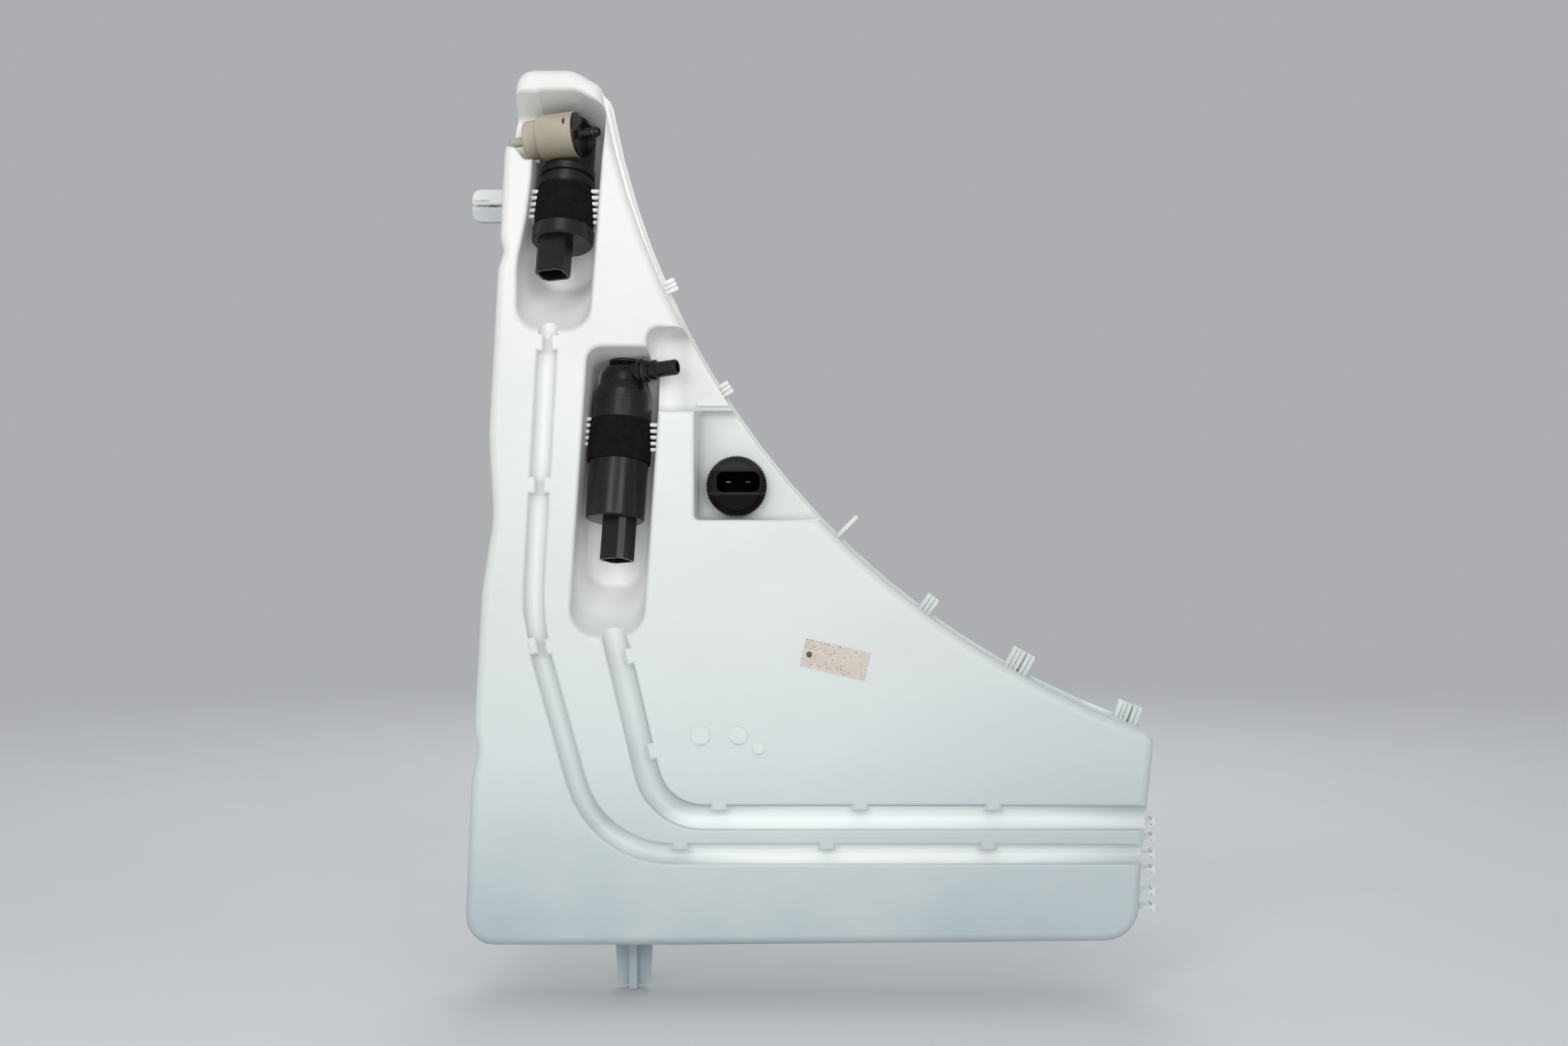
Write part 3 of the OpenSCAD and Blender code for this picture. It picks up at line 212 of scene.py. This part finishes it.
def material(name, **shader):
    """A new material and its tree and Principled shader, with shader sockets set."""
    mat = bpy.data.materials.new(name)
    mat.use_nodes = True
    bsdf = mat.node_tree.nodes["Principled BSDF"]
    for key, value in shader.items():
        bsdf.inputs[key.replace("_", " ")].default_value = value
    return mat, mat.node_tree, bsdf


def dress(tree, bsdf, colour, rough, skin):
    """Links a colour, a roughness and the normal of a grain to the shader."""
    tree.links.new(colour, bsdf.inputs["Base Color"])
    tree.links.new(rough, bsdf.inputs["Roughness"])
    tree.links.new(skin.outputs["Normal"], bsdf.inputs["Normal"])


def gloss(tree, source, smooth, dull):
    """Roughness that goes from smooth to dull as source goes from 0 to 1."""
    return ramp(tree, source, [(0.0, grey(smooth)), (1.0, grey(dull))])


def plain_material(name, dark, light, rough, grain, smudge=24.0, **shader):
    """A material whose colour and gloss vary with broad smudges and whose surface has a fine grain."""
    mat, tree, bsdf = material(name, **shader)
    soil = use(tree, SOILING, Smudge_Scale=smudge)
    skin = use(tree, GRAIN, Scale=grain[0], Strength=grain[1], Distance=grain[2])
    body = mix(tree, soil.outputs["Smudge"], dark, light)
    dress(tree, bsdf, body, gloss(tree, soil.outputs["Smudge"], *rough), skin)
    return mat


def patch(tree, centre_mm, reach_mm, soft, ragged=0.0, ragged_scale=300.0):
    """Mask of a patch placed in millimetres."""
    node = use(tree, PATCH, Centre=[c * MM for c in centre_mm], Reach=[r * MM for r in reach_mm],
               Soft=soft, Ragged=ragged, Ragged_Scale=ragged_scale)
    return node.outputs["Mask"]


def faded(tree, mask, share):
    return math_node(tree, "MULTIPLY", mask, share)


def overlap(tree, masks):
    """Product of masks."""
    product = masks[0]
    for mask in masks[1:]:
        product = math_node(tree, "MULTIPLY", product, mask)
    return product


def axis_share(tree, axis, start, end):
    """0 at the place start to 1 at the place end along X, Y or Z, in metres, in the object's own coordinates."""
    place = add(tree, "ShaderNodeTexCoord").outputs["Object"]
    split = add(tree, "ShaderNodeSeparateXYZ")
    tree.links.new(place, split.inputs[0])
    node = add(tree, "ShaderNodeMapRange")
    tree.links.new(split.outputs[axis], node.inputs["Value"])
    node.inputs["From Min"].default_value = start
    node.inputs["From Max"].default_value = end
    return node.outputs["Result"]


def within(tree, limits):
    """Mask of a box with a narrow soft edge; limits are metres by axis in the object's own coordinates."""
    edge = 0.0003
    sides = []
    for axis, (low, high) in limits.items():
        sides += [axis_share(tree, axis, low - edge, low), axis_share(tree, axis, high + edge, high)]
    return overlap(tree, sides)


# Painted shade of the tank from its lower edge up to the neck, darker and bluer low down, and the heights in metres
# between which it changes
TANK_HEIGHT = (-0.02, 0.44)
TANK_PAINTED_SHADE = [(0.0, (0.355, 0.43, 0.46)), (0.3, (0.605, 0.65, 0.645)), (0.62, (0.68, 0.705, 0.675)),
             (1.0, (0.79, 0.785, 0.755))]

# Soft limits of the two pump bays, which are painted lighter as painted light against their shade: an axis, the
# place where a mask is 0 and the place where it is 1, in metres
PUMP_BAYS = [("Y", -0.052, -0.030), ("Y", 0.004, -0.006), ("X", -0.075, -0.068), ("X", 0.034, 0.024),
             ("Z", 0.17, 0.22)]

# The level run of the hose grooves, painted lighter as painted light against their shade: soft limit of its depth,
# and centre and reach in mm with softness
GROOVE_DEPTH = ("Y", -0.0535, -0.050)
GROOVE_RUN = ((165.0, -50.0, 68.0), (195.0, 20.0, 25.0), 0.25)

# Brighter discs of the moulding bosses: centre and reach in mm, share
BOSS_DISCS = [((45.0, -55.0, 131.3), (5.9, 3.0, 5.7), 0.18), ((68.6, -55.0, 131.3), (5.4, 3.0, 5.2), 0.18),
              ((81.0, -55.0, 123.2), (3.4, 3.0, 3.3), 0.4)]

# Painted light and shade on places of the tank: centre and reach in mm, softness, raggedness and its scale, share,
# colour. In order: the lug dimmed as painted shade, its lower half painted darker as its shaded side, the clip
# fingers and the last comb painted lighter as painted light, and the arch end of the face painted darker and bluer
# as painted shade.
TANK_PAINTED_LIGHT_AND_SHADE = [
    ((-93.0, -8.0, 466.4), (22.0, 40.0, 16.0), 0.3, 0.0, 300.0, 0.9, (0.64, 0.655, 0.645)),
    ((-93.0, -8.0, 458.5), (22.0, 40.0, 9.0), 0.35, 0.3, 300.0, 0.85, (0.40, 0.43, 0.435)),
    ((334.0, -19.0, 45.0), (16.0, 20.0, 50.0), 0.2, 0.0, 300.0, 0.8, (0.80, 0.84, 0.86)),
    ((303.0, -8.0, 149.0), (15.0, 25.0, 11.0), 0.3, 0.0, 300.0, 0.6, (0.80, 0.83, 0.83)),
    ((300.0, -54.0, 80.0), (190.0, 12.0, 120.0), 1.0, 0.0, 300.0, 0.5, (0.42, 0.48, 0.50)),
]

# Soiled places and painted shadows, given in the same way: dirt in the lug's crease, dust in the bays and on the
# face, and painted shadows along the lower edges of the bosses
TANK_SOIL_AND_SHADOWS = [
    ((-90.0, -8.0, 466.4), (16.0, 12.0, 1.0), 0.7, 1.6, 260.0, 0.85, (0.06, 0.045, 0.03)),
    ((-97.0, -8.0, 469.5), (7.0, 12.0, 1.4), 0.8, 1.5, 320.0, 0.55, (0.10, 0.08, 0.06)),
    ((-20.0, -24.0, 362.0), (16.0, 26.0, 18.0), 1.0, 1.2, 90.0, 0.5, (0.50, 0.47, 0.40)),
    ((40.0, -30.0, 378.0), (34.0, 26.0, 10.0), 1.0, 1.2, 90.0, 0.4, (0.52, 0.50, 0.44)),
    ((-38.0, -34.0, 524.0), (30.0, 30.0, 13.0), 1.0, 1.2, 90.0, 0.4, (0.55, 0.53, 0.45)),
    ((150.0, -54.0, 190.0), (60.0, 6.0, 34.0), 1.0, 1.4, 60.0, 0.12, (0.58, 0.55, 0.47)),
    # Painted shadows along the lower edges of the three bosses
    ((44.8, -55.0, 125.3), (4.5, 2.0, 1.0), 0.8, 0.6, 300.0, 0.5, (0.40, 0.42, 0.41)),
    ((67.6, -55.0, 125.6), (3.0, 2.0, 0.9), 0.8, 0.6, 300.0, 0.6, (0.38, 0.40, 0.39)),
    ((81.3, -55.0, 119.2), (3.6, 2.0, 1.0), 0.8, 0.6, 300.0, 0.4, (0.40, 0.42, 0.41)),
]


def tank_material():
    """Translucent plastic with painted light and shade: darker and bluer low down, lighter in bays and grooves, a
    few places lighter or darker, soil, shadows under the bosses.
    """
    mat, tree, bsdf = material("tank_plastic", Subsurface_Weight=0.2, Subsurface_Scale=0.004,
                               Subsurface_Radius=(1.0, 1.0, 1.0))
    soil = use(tree, SOILING, Smudge_Scale=9.0, Speck_Scale=70.0, Speck_Size=0.06, Speck_Share=0.12)
    skin = use(tree, GRAIN, Scale=220.0, Strength=0.06, Distance=0.0003)
    # Painted shade: darker and bluer towards the bottom
    painted_shade_base = ramp(tree, axis_share(tree, "Z", *TANK_HEIGHT), TANK_PAINTED_SHADE)
    body = mix(tree, faded(tree, soil.outputs["Smudge"], 0.45), painted_shade_base, (0.62, 0.65, 0.635))
    # Painted light: the pump bays painted lighter against their shade
    painted_bay_light = overlap(tree, [axis_share(tree, *limit) for limit in PUMP_BAYS])
    # Painted light: the level run of the grooves painted lighter against its shade
    painted_groove_light = overlap(tree, [axis_share(tree, *GROOVE_DEPTH), patch(tree, *GROOVE_RUN)])
    body = mix(tree, painted_bay_light, body, (0.955, 0.965, 0.94))
    body = mix(tree, painted_groove_light, body, (0.84, 0.865, 0.85))
    for centre, reach, share in BOSS_DISCS:
        body = mix(tree, faded(tree, patch(tree, centre, reach, 0.3), share), body, (0.72, 0.76, 0.74))
    # Painted light and shade in places, then dirt, dust and painted shadows under the bosses
    for *place, share, colour in TANK_PAINTED_LIGHT_AND_SHADE + TANK_SOIL_AND_SHADOWS:
        body = mix(tree, faded(tree, patch(tree, *place), share), body, colour)
    body = mix(tree, soil.outputs["Specks"], body, (0.10, 0.085, 0.07))
    dress(tree, bsdf, body, gloss(tree, soil.outputs["Smudge"], 0.36, 0.5), skin)
    return mat


def foam_material():
    """Felt-like foam: deep fine bump with pale lint caught in it."""
    mat, tree, bsdf = material("foam", Specular_IOR_Level=0.15)
    soil = use(tree, SOILING, Smudge_Scale=160.0, Speck_Scale=900.0, Speck_Size=0.22, Speck_Share=0.06)
    skin = use(tree, GRAIN, Scale=1500.0, Strength=0.8, Distance=0.0006)
    body = mix(tree, soil.outputs["Smudge"], (0.004, 0.004, 0.004), (0.009, 0.009, 0.009))
    body = mix(tree, soil.outputs["Specks"], body, (0.11, 0.105, 0.10))
    dress(tree, bsdf, body, ramp(tree, skin.outputs["Height"], [(0.2, grey(1.0)), (0.8, grey(0.86))]), skin)
    return mat


def sticker_material():
    """Aged sticker: dense brown speckle, foxed patches and one green dot."""
    mat, tree, bsdf = material("sticker")
    soil = use(tree, SOILING, Smudge_Scale=150.0, Speck_Scale=1250.0, Speck_Size=0.58, Speck_Share=0.36)
    skin = use(tree, GRAIN, Scale=900.0, Strength=0.15, Distance=0.0001)
    body = mix(tree, soil.outputs["Smudge"], (0.62, 0.55, 0.485), (0.52, 0.455, 0.395))
    body = mix(tree, faded(tree, soil.outputs["Specks"], 0.85), body, (0.11, 0.085, 0.065))
    dot = patch(tree, (112.5, -54.1, 181.0), (2.0, 2.2, 2.2), 0.2, 0.8, 700.0)
    body = mix(tree, dot, body, (0.02, 0.10, 0.03))
    dress(tree, bsdf, body, gloss(tree, soil.outputs["Smudge"], 0.55, 0.75), skin)
    return mat


# Soft limits of the painted shade on the drum's lower side, left of which its nozzle stays unshaded, as in PUMP_BAYS
DRUM_PAINTED_SHADE = [("Z", 0.511, 0.490), ("X", -0.068, -0.058)]

# The dark witness slot on the drum: centre and reach in mm, softness
DRUM_SLOT = ((-39.9, -54.4, 511.4), (0.95, 8.0, 2.6), 0.3)


def drum_material():
    """Natural plastic with painted shade, darker and more yellow-green low down, and a dark witness slot on the top
    of the drum.
    """
    mat, tree, bsdf = material("drum_plastic", Subsurface_Weight=0.2, Subsurface_Scale=0.002)
    soil = use(tree, SOILING, Smudge_Scale=60.0, Speck_Scale=300.0, Speck_Size=0.12, Speck_Share=0.12)
    skin = use(tree, GRAIN, Scale=420.0, Strength=0.12, Distance=0.0002)
    body = mix(tree, soil.outputs["Smudge"], (0.47, 0.42, 0.33), (0.38, 0.335, 0.255))
    body = mix(tree, faded(tree, soil.outputs["Specks"], 0.5), body, (0.2, 0.16, 0.12))
    # Painted shade: the drum's lower side darker and more yellow-green
    drum_shade_mask = overlap(tree, [axis_share(tree, *limit) for limit in DRUM_PAINTED_SHADE])
    body = mix(tree, faded(tree, drum_shade_mask, 0.85), body, (0.16, 0.145, 0.085))
    body = mix(tree, patch(tree, *DRUM_SLOT), body, (0.012, 0.011, 0.010))
    dress(tree, bsdf, body, gloss(tree, soil.outputs["Smudge"], 0.4, 0.55), skin)
    return mat


# Heights in metres over which the sensor's painted tone changes, that tone from the lower to the upper one (painted
# shade low down, painted highlights on the edges just under and above the socket), and its socket, painted
# near-black as shade
SENSOR_HEIGHT = (0.266, 0.306)
SENSOR_PAINTED_TONE = [(0.0, 0.003), (0.34, 0.002), (0.385, 0.035), (0.41, 0.012), (0.73, 0.012), (0.77, 0.032), (1.0, 0.02)]
SENSOR_SOCKET = {"X": (0.0541, 0.0816), "Y": (-0.0283, -0.01), "Z": (0.2818, 0.2952)}


def sensor_material():
    """Black plastic of the level sensor, painted near-black in its socket and darker low down as shade, with painted
    highlights on the edge under the socket and above it.
    """
    mat, tree, bsdf = material("sensor_plastic", Specular_IOR_Level=0.05)
    skin = use(tree, GRAIN, Scale=700.0, Strength=0.12, Distance=0.0001)
    soil = use(tree, SOILING, Smudge_Scale=90.0)
    # Painted shade low down and in the socket, painted highlights on the edges under and above it
    tone = ramp(tree, axis_share(tree, "Z", *SENSOR_HEIGHT), [(place, grey(level)) for place, level in SENSOR_PAINTED_TONE])
    worn_painted_tone = mix(tree, faded(tree, soil.outputs["Smudge"], 0.2), tone, grey(0.012))
    socket = within(tree, SENSOR_SOCKET)
    dress(tree, bsdf, mix(tree, socket, worn_painted_tone, grey(0.0008)), gloss(tree, socket, 0.45, 0.95), skin)
    return mat


TANK = tank_material()
BLACK = plain_material("black_plastic", (0.005, 0.005, 0.0052), (0.010, 0.0097, 0.0094), (0.25, 0.4),
                       (700.0, 0.12, 0.0001), Specular_IOR_Level=0.4)
BEIGE = plain_material("beige_plastic", (0.60, 0.55, 0.46), (0.52, 0.47, 0.38), (0.4, 0.55),
                       (420.0, 0.12, 0.0002), Subsurface_Weight=0.15, Subsurface_Scale=0.002)
DRUM = drum_material()
FOAM = foam_material()
RUBBER = plain_material("rubber", (0.012, 0.012, 0.012), (0.022, 0.022, 0.022), (0.6, 0.75),
                        (600.0, 0.2, 0.0002))
STEEL = plain_material("steel", (0.42, 0.42, 0.41), (0.30, 0.29, 0.28), (0.25, 0.42),
                       (900.0, 0.1, 0.0001), Metallic=1.0)
# Terminal steel, dull and painted darker as shade inside the sensor's socket
SHADED_STEEL = plain_material("dull_steel_painted_shade", (0.10, 0.098, 0.094), (0.05, 0.049, 0.047), (0.5, 0.65),
                           (900.0, 0.1, 0.0001), Metallic=1.0)
MAGNET = plain_material("magnet", (0.05, 0.05, 0.052), (0.09, 0.09, 0.09), (0.5, 0.65),
                        (900.0, 0.2, 0.0001))
PAPER = sticker_material()

SLOT_LOOKS = {"tank": TANK, "label": PAPER, "black_plastic": BLACK, "beige_plastic": BEIGE, "foam": FOAM,
              "rubber": RUBBER, "steel": STEEL, "magnet": MAGNET}
node_slot = {row["node"]: row["material_slot"] for row in frame["record"]["subparts"]}


def paint(obj, mat):
    obj.data.materials.clear()
    obj.data.materials.append(mat)


for name, obj in nodes.items():
    paint(obj, SLOT_LOOKS[node_slot[name]])
paint(nodes["washer_pump_valve_drum"], DRUM)
paint(nodes["level_sensor_body"], sensor_material())
paint(nodes["level_sensor_terminals"], SHADED_STEEL)


# Softened edges on the moulded pieces: points nearer than MERGE_M are one, edges steeper than SOFTEN_DEG are rounded

MERGE_M = 2e-6
SOFTEN_DEG = 38.0
NORMAL_WEIGHT = 80


def even_shading(obj, keep_sharp):
    weighted = obj.modifiers.new("weighted", "WEIGHTED_NORMAL")
    weighted.keep_sharp = keep_sharp
    weighted.weight = NORMAL_WEIGHT


def soften(name, width_mm):
    """Rounds the sharp edges of a CAD node and evens its shading, by modifiers alone."""
    obj = nodes[name]
    weld = obj.modifiers.new("weld", "WELD")
    weld.merge_threshold = MERGE_M
    bevel = obj.modifiers.new("bevel", "BEVEL")
    bevel.width = width_mm * MM
    bevel.segments = 3
    bevel.limit_method = "ANGLE"
    bevel.angle_limit = math.radians(SOFTEN_DEG)
    bevel.harden_normals = False
    even_shading(obj, keep_sharp=False)


EDGE_MM = {"washer_pump_housing": 0.45, "washer_pump_head": 0.4, "washer_pump_valve_drum": 0.5,
           "washer_pump_valve_cap": 0.3, "headlamp_pump_housing": 0.45, "headlamp_pump_head": 0.4,
           "headlamp_pump_outlet_ring": 0.4, "level_sensor_body": 0.3}
for name, width in EDGE_MM.items():
    soften(name, width)


# Smooth copies of the faceted shells

def add_piece(name, mesh, mat):
    """A piece that rides on the reservoir."""
    obj = bpy.data.objects.new(name, mesh)
    scene.collection.objects.link(obj)
    paint(obj, mat)
    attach(obj, "reservoir")
    return obj


# The front face's place and the tolerance for points on it, the rims' rounding and least angle, in mm and degrees
FACE_Y = -54.0
FACE_NEAR = 0.05
RIM_MM = 2.2
RIM_DEG = 25.0

# X, Z and reach in mm of the notch beside a tab
TAB_NOTCH = (-61.2, 186.8, 4.5)

# Facets flatter than FLAT_DEG are joined, and edges steeper than SHARP_DEG stay sharp in the shading
FLAT_DEG = 0.5
SHARP_DEG = 40.0


def round_rims(bm):
    """Rounds the edges where bays and grooves leave the front face; the narrow notch beside a tab stays sharp."""
    x, z, reach = TAB_NOTCH

    def on_face(vert):
        return abs(vert.co.y - FACE_Y * MM) < FACE_NEAR * MM

    def in_notch(vert):
        return math.hypot(vert.co.x - x * MM, vert.co.z - z * MM) < reach * MM

    rims = [edge for edge in bm.edges
            if edge.is_manifold and all(on_face(vert) for vert in edge.verts)
            and edge.calc_face_angle_signed(0.0) > math.radians(RIM_DEG)
            and not any(in_notch(vert) for vert in edge.verts)]
    bmesh.ops.bevel(bm, geom=rims, offset=RIM_MM * MM, offset_type="OFFSET", segments=4, profile=0.5, affect="EDGES",
                    clamp_overlap=False, material=-1, loop_slide=False)


def shade_smooth(bm):
    """Smooth faces, with the steep and open edges kept sharp."""
    for face in bm.faces:
        face.smooth = True
    for edge in bm.edges:
        edge.smooth = edge.is_manifold and edge.calc_face_angle(0.0) < math.radians(SHARP_DEG)


def take_mesh(name, bm):
    mesh = bpy.data.meshes.new(name)
    bm.to_mesh(mesh)
    bm.free()
    return mesh


def merged_copy(node):
    """The mesh of a CAD node with its points merged and its flat facets joined."""
    bm = bmesh.new()
    bm.from_mesh(nodes[node].data)
    bmesh.ops.remove_doubles(bm, verts=bm.verts, dist=MERGE_M)
    bmesh.ops.dissolve_limit(bm, angle_limit=math.radians(FLAT_DEG), verts=bm.verts, edges=bm.edges)
    return bm


def smooth_copy(node, name, rims=False):
    """A merged copy of a CAD node with soft shading across its facets, standing for the node."""
    bm = merged_copy(node)
    if rims:
        round_rims(bm)
    shade_smooth(bm)
    obj = add_piece(name, take_mesh(name, bm), SLOT_LOOKS[node_slot[node]])
    even_shading(obj, keep_sharp=True)
    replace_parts(obj, node)


smooth_copy("front_shell", "front_shell_moulding", rims=True)
smooth_copy("rear_shell", "rear_shell_moulding")


# Foam sleeves of the pumps: rounding of the rims and their least angle, the share of the height from which an edge
# is a rib of the skin, rows of the skin, and depth and number per metre of its dimples

SLEEVE_RIM_MM = 0.9
SLEEVE_RIM_DEG = 60.0
SLEEVE_RIB_SHARE = 0.8
SLEEVE_ROWS = 22
DIMPLE_MM = 0.45
DIMPLE_SCALE = 650.0


def foam_sleeve(node, name):
    """A foam copy of a sleeve with round rims and a skin of small dimples, standing for the node."""
    bm = merged_copy(node)
    rims = [edge for edge in bm.edges
            if edge.is_manifold and edge.calc_face_angle(0.0) > math.radians(SLEEVE_RIM_DEG)]
    tall = max(edge.calc_length() for edge in bm.edges if edge not in rims)
    bmesh.ops.bevel(bm, geom=rims, offset=SLEEVE_RIM_MM * MM, offset_type="OFFSET", segments=3, profile=0.5,
                    affect="EDGES", clamp_overlap=True, material=-1, loop_slide=False)
    ribs = [edge for edge in bm.edges if edge.calc_length() > SLEEVE_RIB_SHARE * tall]
    bmesh.ops.subdivide_edges(bm, edges=ribs, cuts=SLEEVE_ROWS, use_grid_fill=True)
    bm.normal_update()
    for vert in bm.verts:
        dimple = 0.5 + 0.5 * noise.noise(vert.co * DIMPLE_SCALE)
        vert.co -= vert.normal * (dimple * DIMPLE_MM * MM)
    for face in bm.faces:
        face.smooth = True
    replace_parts(add_piece(name, take_mesh(name, bm), FOAM), node)


foam_sleeve("washer_pump_sleeve", "washer_pump_foam")
foam_sleeve("headlamp_pump_sleeve", "headlamp_pump_foam")


# Rounded shoulder of the headlamp pump's head: the pump's place and tilt, and a profile of radius and height

TURN_STEPS = 72
HEADLAMP_PUMP = (Matrix.Translation(Vector((-6.5, -32.0, 313.1)) * MM)
                 @ Matrix.Rotation(math.radians(3.0), 4, "Y") @ Matrix.Rotation(math.radians(-12.0), 4, "X"))
SHOULDER_MM = [(17.4, 25.2), (18.45, 26.0), (18.4, 30.5), (17.9, 32.4), (15.9, 36.4), (15.3, 38.0), (15.1, 42.2),
               (14.4, 44.6), (12.4, 47.6), (9.4, 49.6), (8.2, 49.3), (12.0, 45.0), (14.0, 40.0), (14.6, 36.5)]


def turned_piece(name, profile_mm, place, mat):
    """A closed ring turned about Z from a profile of radius and height, then set in its place."""
    bm = bmesh.new()
    ring = [bm.verts.new((radius * MM, 0.0, height * MM)) for radius, height in profile_mm]
    edges = [bm.edges.new((ring[i - 1], ring[i])) for i in range(len(ring))]
    bmesh.ops.spin(bm, geom=ring + edges, cent=(0.0, 0.0, 0.0), axis=(0.0, 0.0, 1.0), angle=math.tau,
                   steps=TURN_STEPS, use_merge=True)
    bmesh.ops.recalc_face_normals(bm, faces=bm.faces)
    shade_smooth(bm)
    bm.transform(place)
    add_piece(name, take_mesh(name, bm), mat)


turned_piece("headlamp_pump_head_shoulder", SHOULDER_MM, HEADLAMP_PUMP, BLACK)


# Floor, light and camera

HAZE = (0.83, 0.85, 0.88)
HAZE_LEVEL = 0.5
SOFT_LEVEL = 0.7

# The floor's radius, its middle and its drop below the object, and where it starts and ends to fade, in metres
FLOOR_RADIUS = 9.0
FLOOR_X = 0.1
FLOOR_DROP = 0.0005
FLOOR_FADE = (0.5, 3.5)

# Lamps: name, place, aim, size in metres, power in watts
LAMPS = [
    ("key", (-0.15, -1.15, 1.35), (0.0, 0.0, 0.38), 0.8, 3.3),
    ("front_left", (-0.5, -1.5, 0.72), (-0.03, 0.0, 0.46), 0.5, 4.0),
    ("front_right", (0.6, -1.5, 0.72), (-0.02, 0.0, 0.46), 0.5, 3.6),
    ("low", (0.0, -1.2, 0.3), (-0.04, 0.0, 0.52), 0.5, 2.6),
    ("rim", (0.2, 1.6, 1.3), (0.1, 0.0, 0.27), 1.2, 8.0),
]


def stage_floor():
    """Pale floor that fades into the backdrop's tone far from the object."""
    bm = bmesh.new()
    bmesh.ops.create_circle(bm, cap_ends=True, segments=96, radius=FLOOR_RADIUS)
    bm.transform(Matrix.Translation((FLOOR_X, 0.0, cad_box[0][2] - FLOOR_DROP)))
    obj = bpy.data.objects.new("floor", take_mesh("floor", bm))
    scene.collection.objects.link(obj)
    paint(obj, plain_material("floor_paint", (0.66, 0.67, 0.68), (0.63, 0.64, 0.65), (0.7, 0.8),
                              (60.0, 0.02, 0.0005), smudge=2.0))
    tree = obj.data.materials[0].node_tree
    place = add(tree, "ShaderNodeTexCoord").outputs["Object"]
    away = add(tree, "ShaderNodeVectorMath", operation="LENGTH")
    tree.links.new(place, away.inputs[0])
    far = add(tree, "ShaderNodeMapRange", interpolation_type="SMOOTHSTEP")
    tree.links.new(away.outputs["Value"], far.inputs["Value"])
    far.inputs["From Min"].default_value, far.inputs["From Max"].default_value = FLOOR_FADE
    glow = add(tree, "ShaderNodeEmission", in_Color=(*HAZE, 1.0), in_Strength=HAZE_LEVEL)
    blend = add(tree, "ShaderNodeMixShader")
    tree.links.new(far.outputs["Result"], blend.inputs["Fac"])
    tree.links.new(tree.nodes["Principled BSDF"].outputs["BSDF"], blend.inputs[1])
    tree.links.new(glow.outputs["Emission"], blend.inputs[2])
    tree.links.new(blend.outputs["Shader"], tree.nodes["Material Output"].inputs["Surface"])


def area_light(name, place, aim, size, power):
    data = bpy.data.lights.new(name, "AREA")
    data.shape = "DISK"
    data.size = size
    data.energy = power
    obj = bpy.data.objects.new(name, data)
    scene.collection.objects.link(obj)
    obj.location = place
    obj.rotation_euler = (Vector(aim) - Vector(place)).to_track_quat("-Z", "Y").to_euler()


def stage_light():
    """Soft light from all round at SOFT_LEVEL, seen and mirrored as a backdrop at HAZE_LEVEL, and the lamps."""
    world = bpy.data.worlds.new("studio")
    scene.world = world
    world.use_nodes = True
    tree = world.node_tree
    sky = tree.nodes["Background"]
    sky.inputs["Color"].default_value = (*HAZE, 1.0)
    ray = add(tree, "ShaderNodeLightPath")
    direct = math_node(tree, "MAXIMUM", ray.outputs["Is Camera Ray"], ray.outputs["Is Glossy Ray"])
    seen = math_node(tree, "MAXIMUM", direct, ray.outputs["Is Transmission Ray"])
    drop = math_node(tree, "MULTIPLY", seen, SOFT_LEVEL - HAZE_LEVEL)
    tree.links.new(math_node(tree, "SUBTRACT", SOFT_LEVEL, drop), sky.inputs["Strength"])
    for lamp in LAMPS:
        area_light(*lamp)


def stage_camera():
    """Camera square to the front face, placed so that 0.475 mm of the face covers one photo pixel."""
    mm_per_px, wide_px = 0.475, 2045.0
    distance, sensor = 1150.0, 36.0
    across, up = 96.9, 262.5
    data = bpy.data.cameras.new("camera")
    data.sensor_width = sensor
    data.lens = sensor * distance / (mm_per_px * wide_px)
    data.clip_end = 50.0
    obj = bpy.data.objects.new("camera", data)
    scene.collection.objects.link(obj)
    obj.location = Vector((across, FACE_Y - distance, up)) * MM
    obj.rotation_euler = (math.radians(90.0), 0.0, 0.0)
    scene.camera = obj


scene.view_settings.view_transform = "Standard"
stage_floor()
stage_light()
stage_camera()
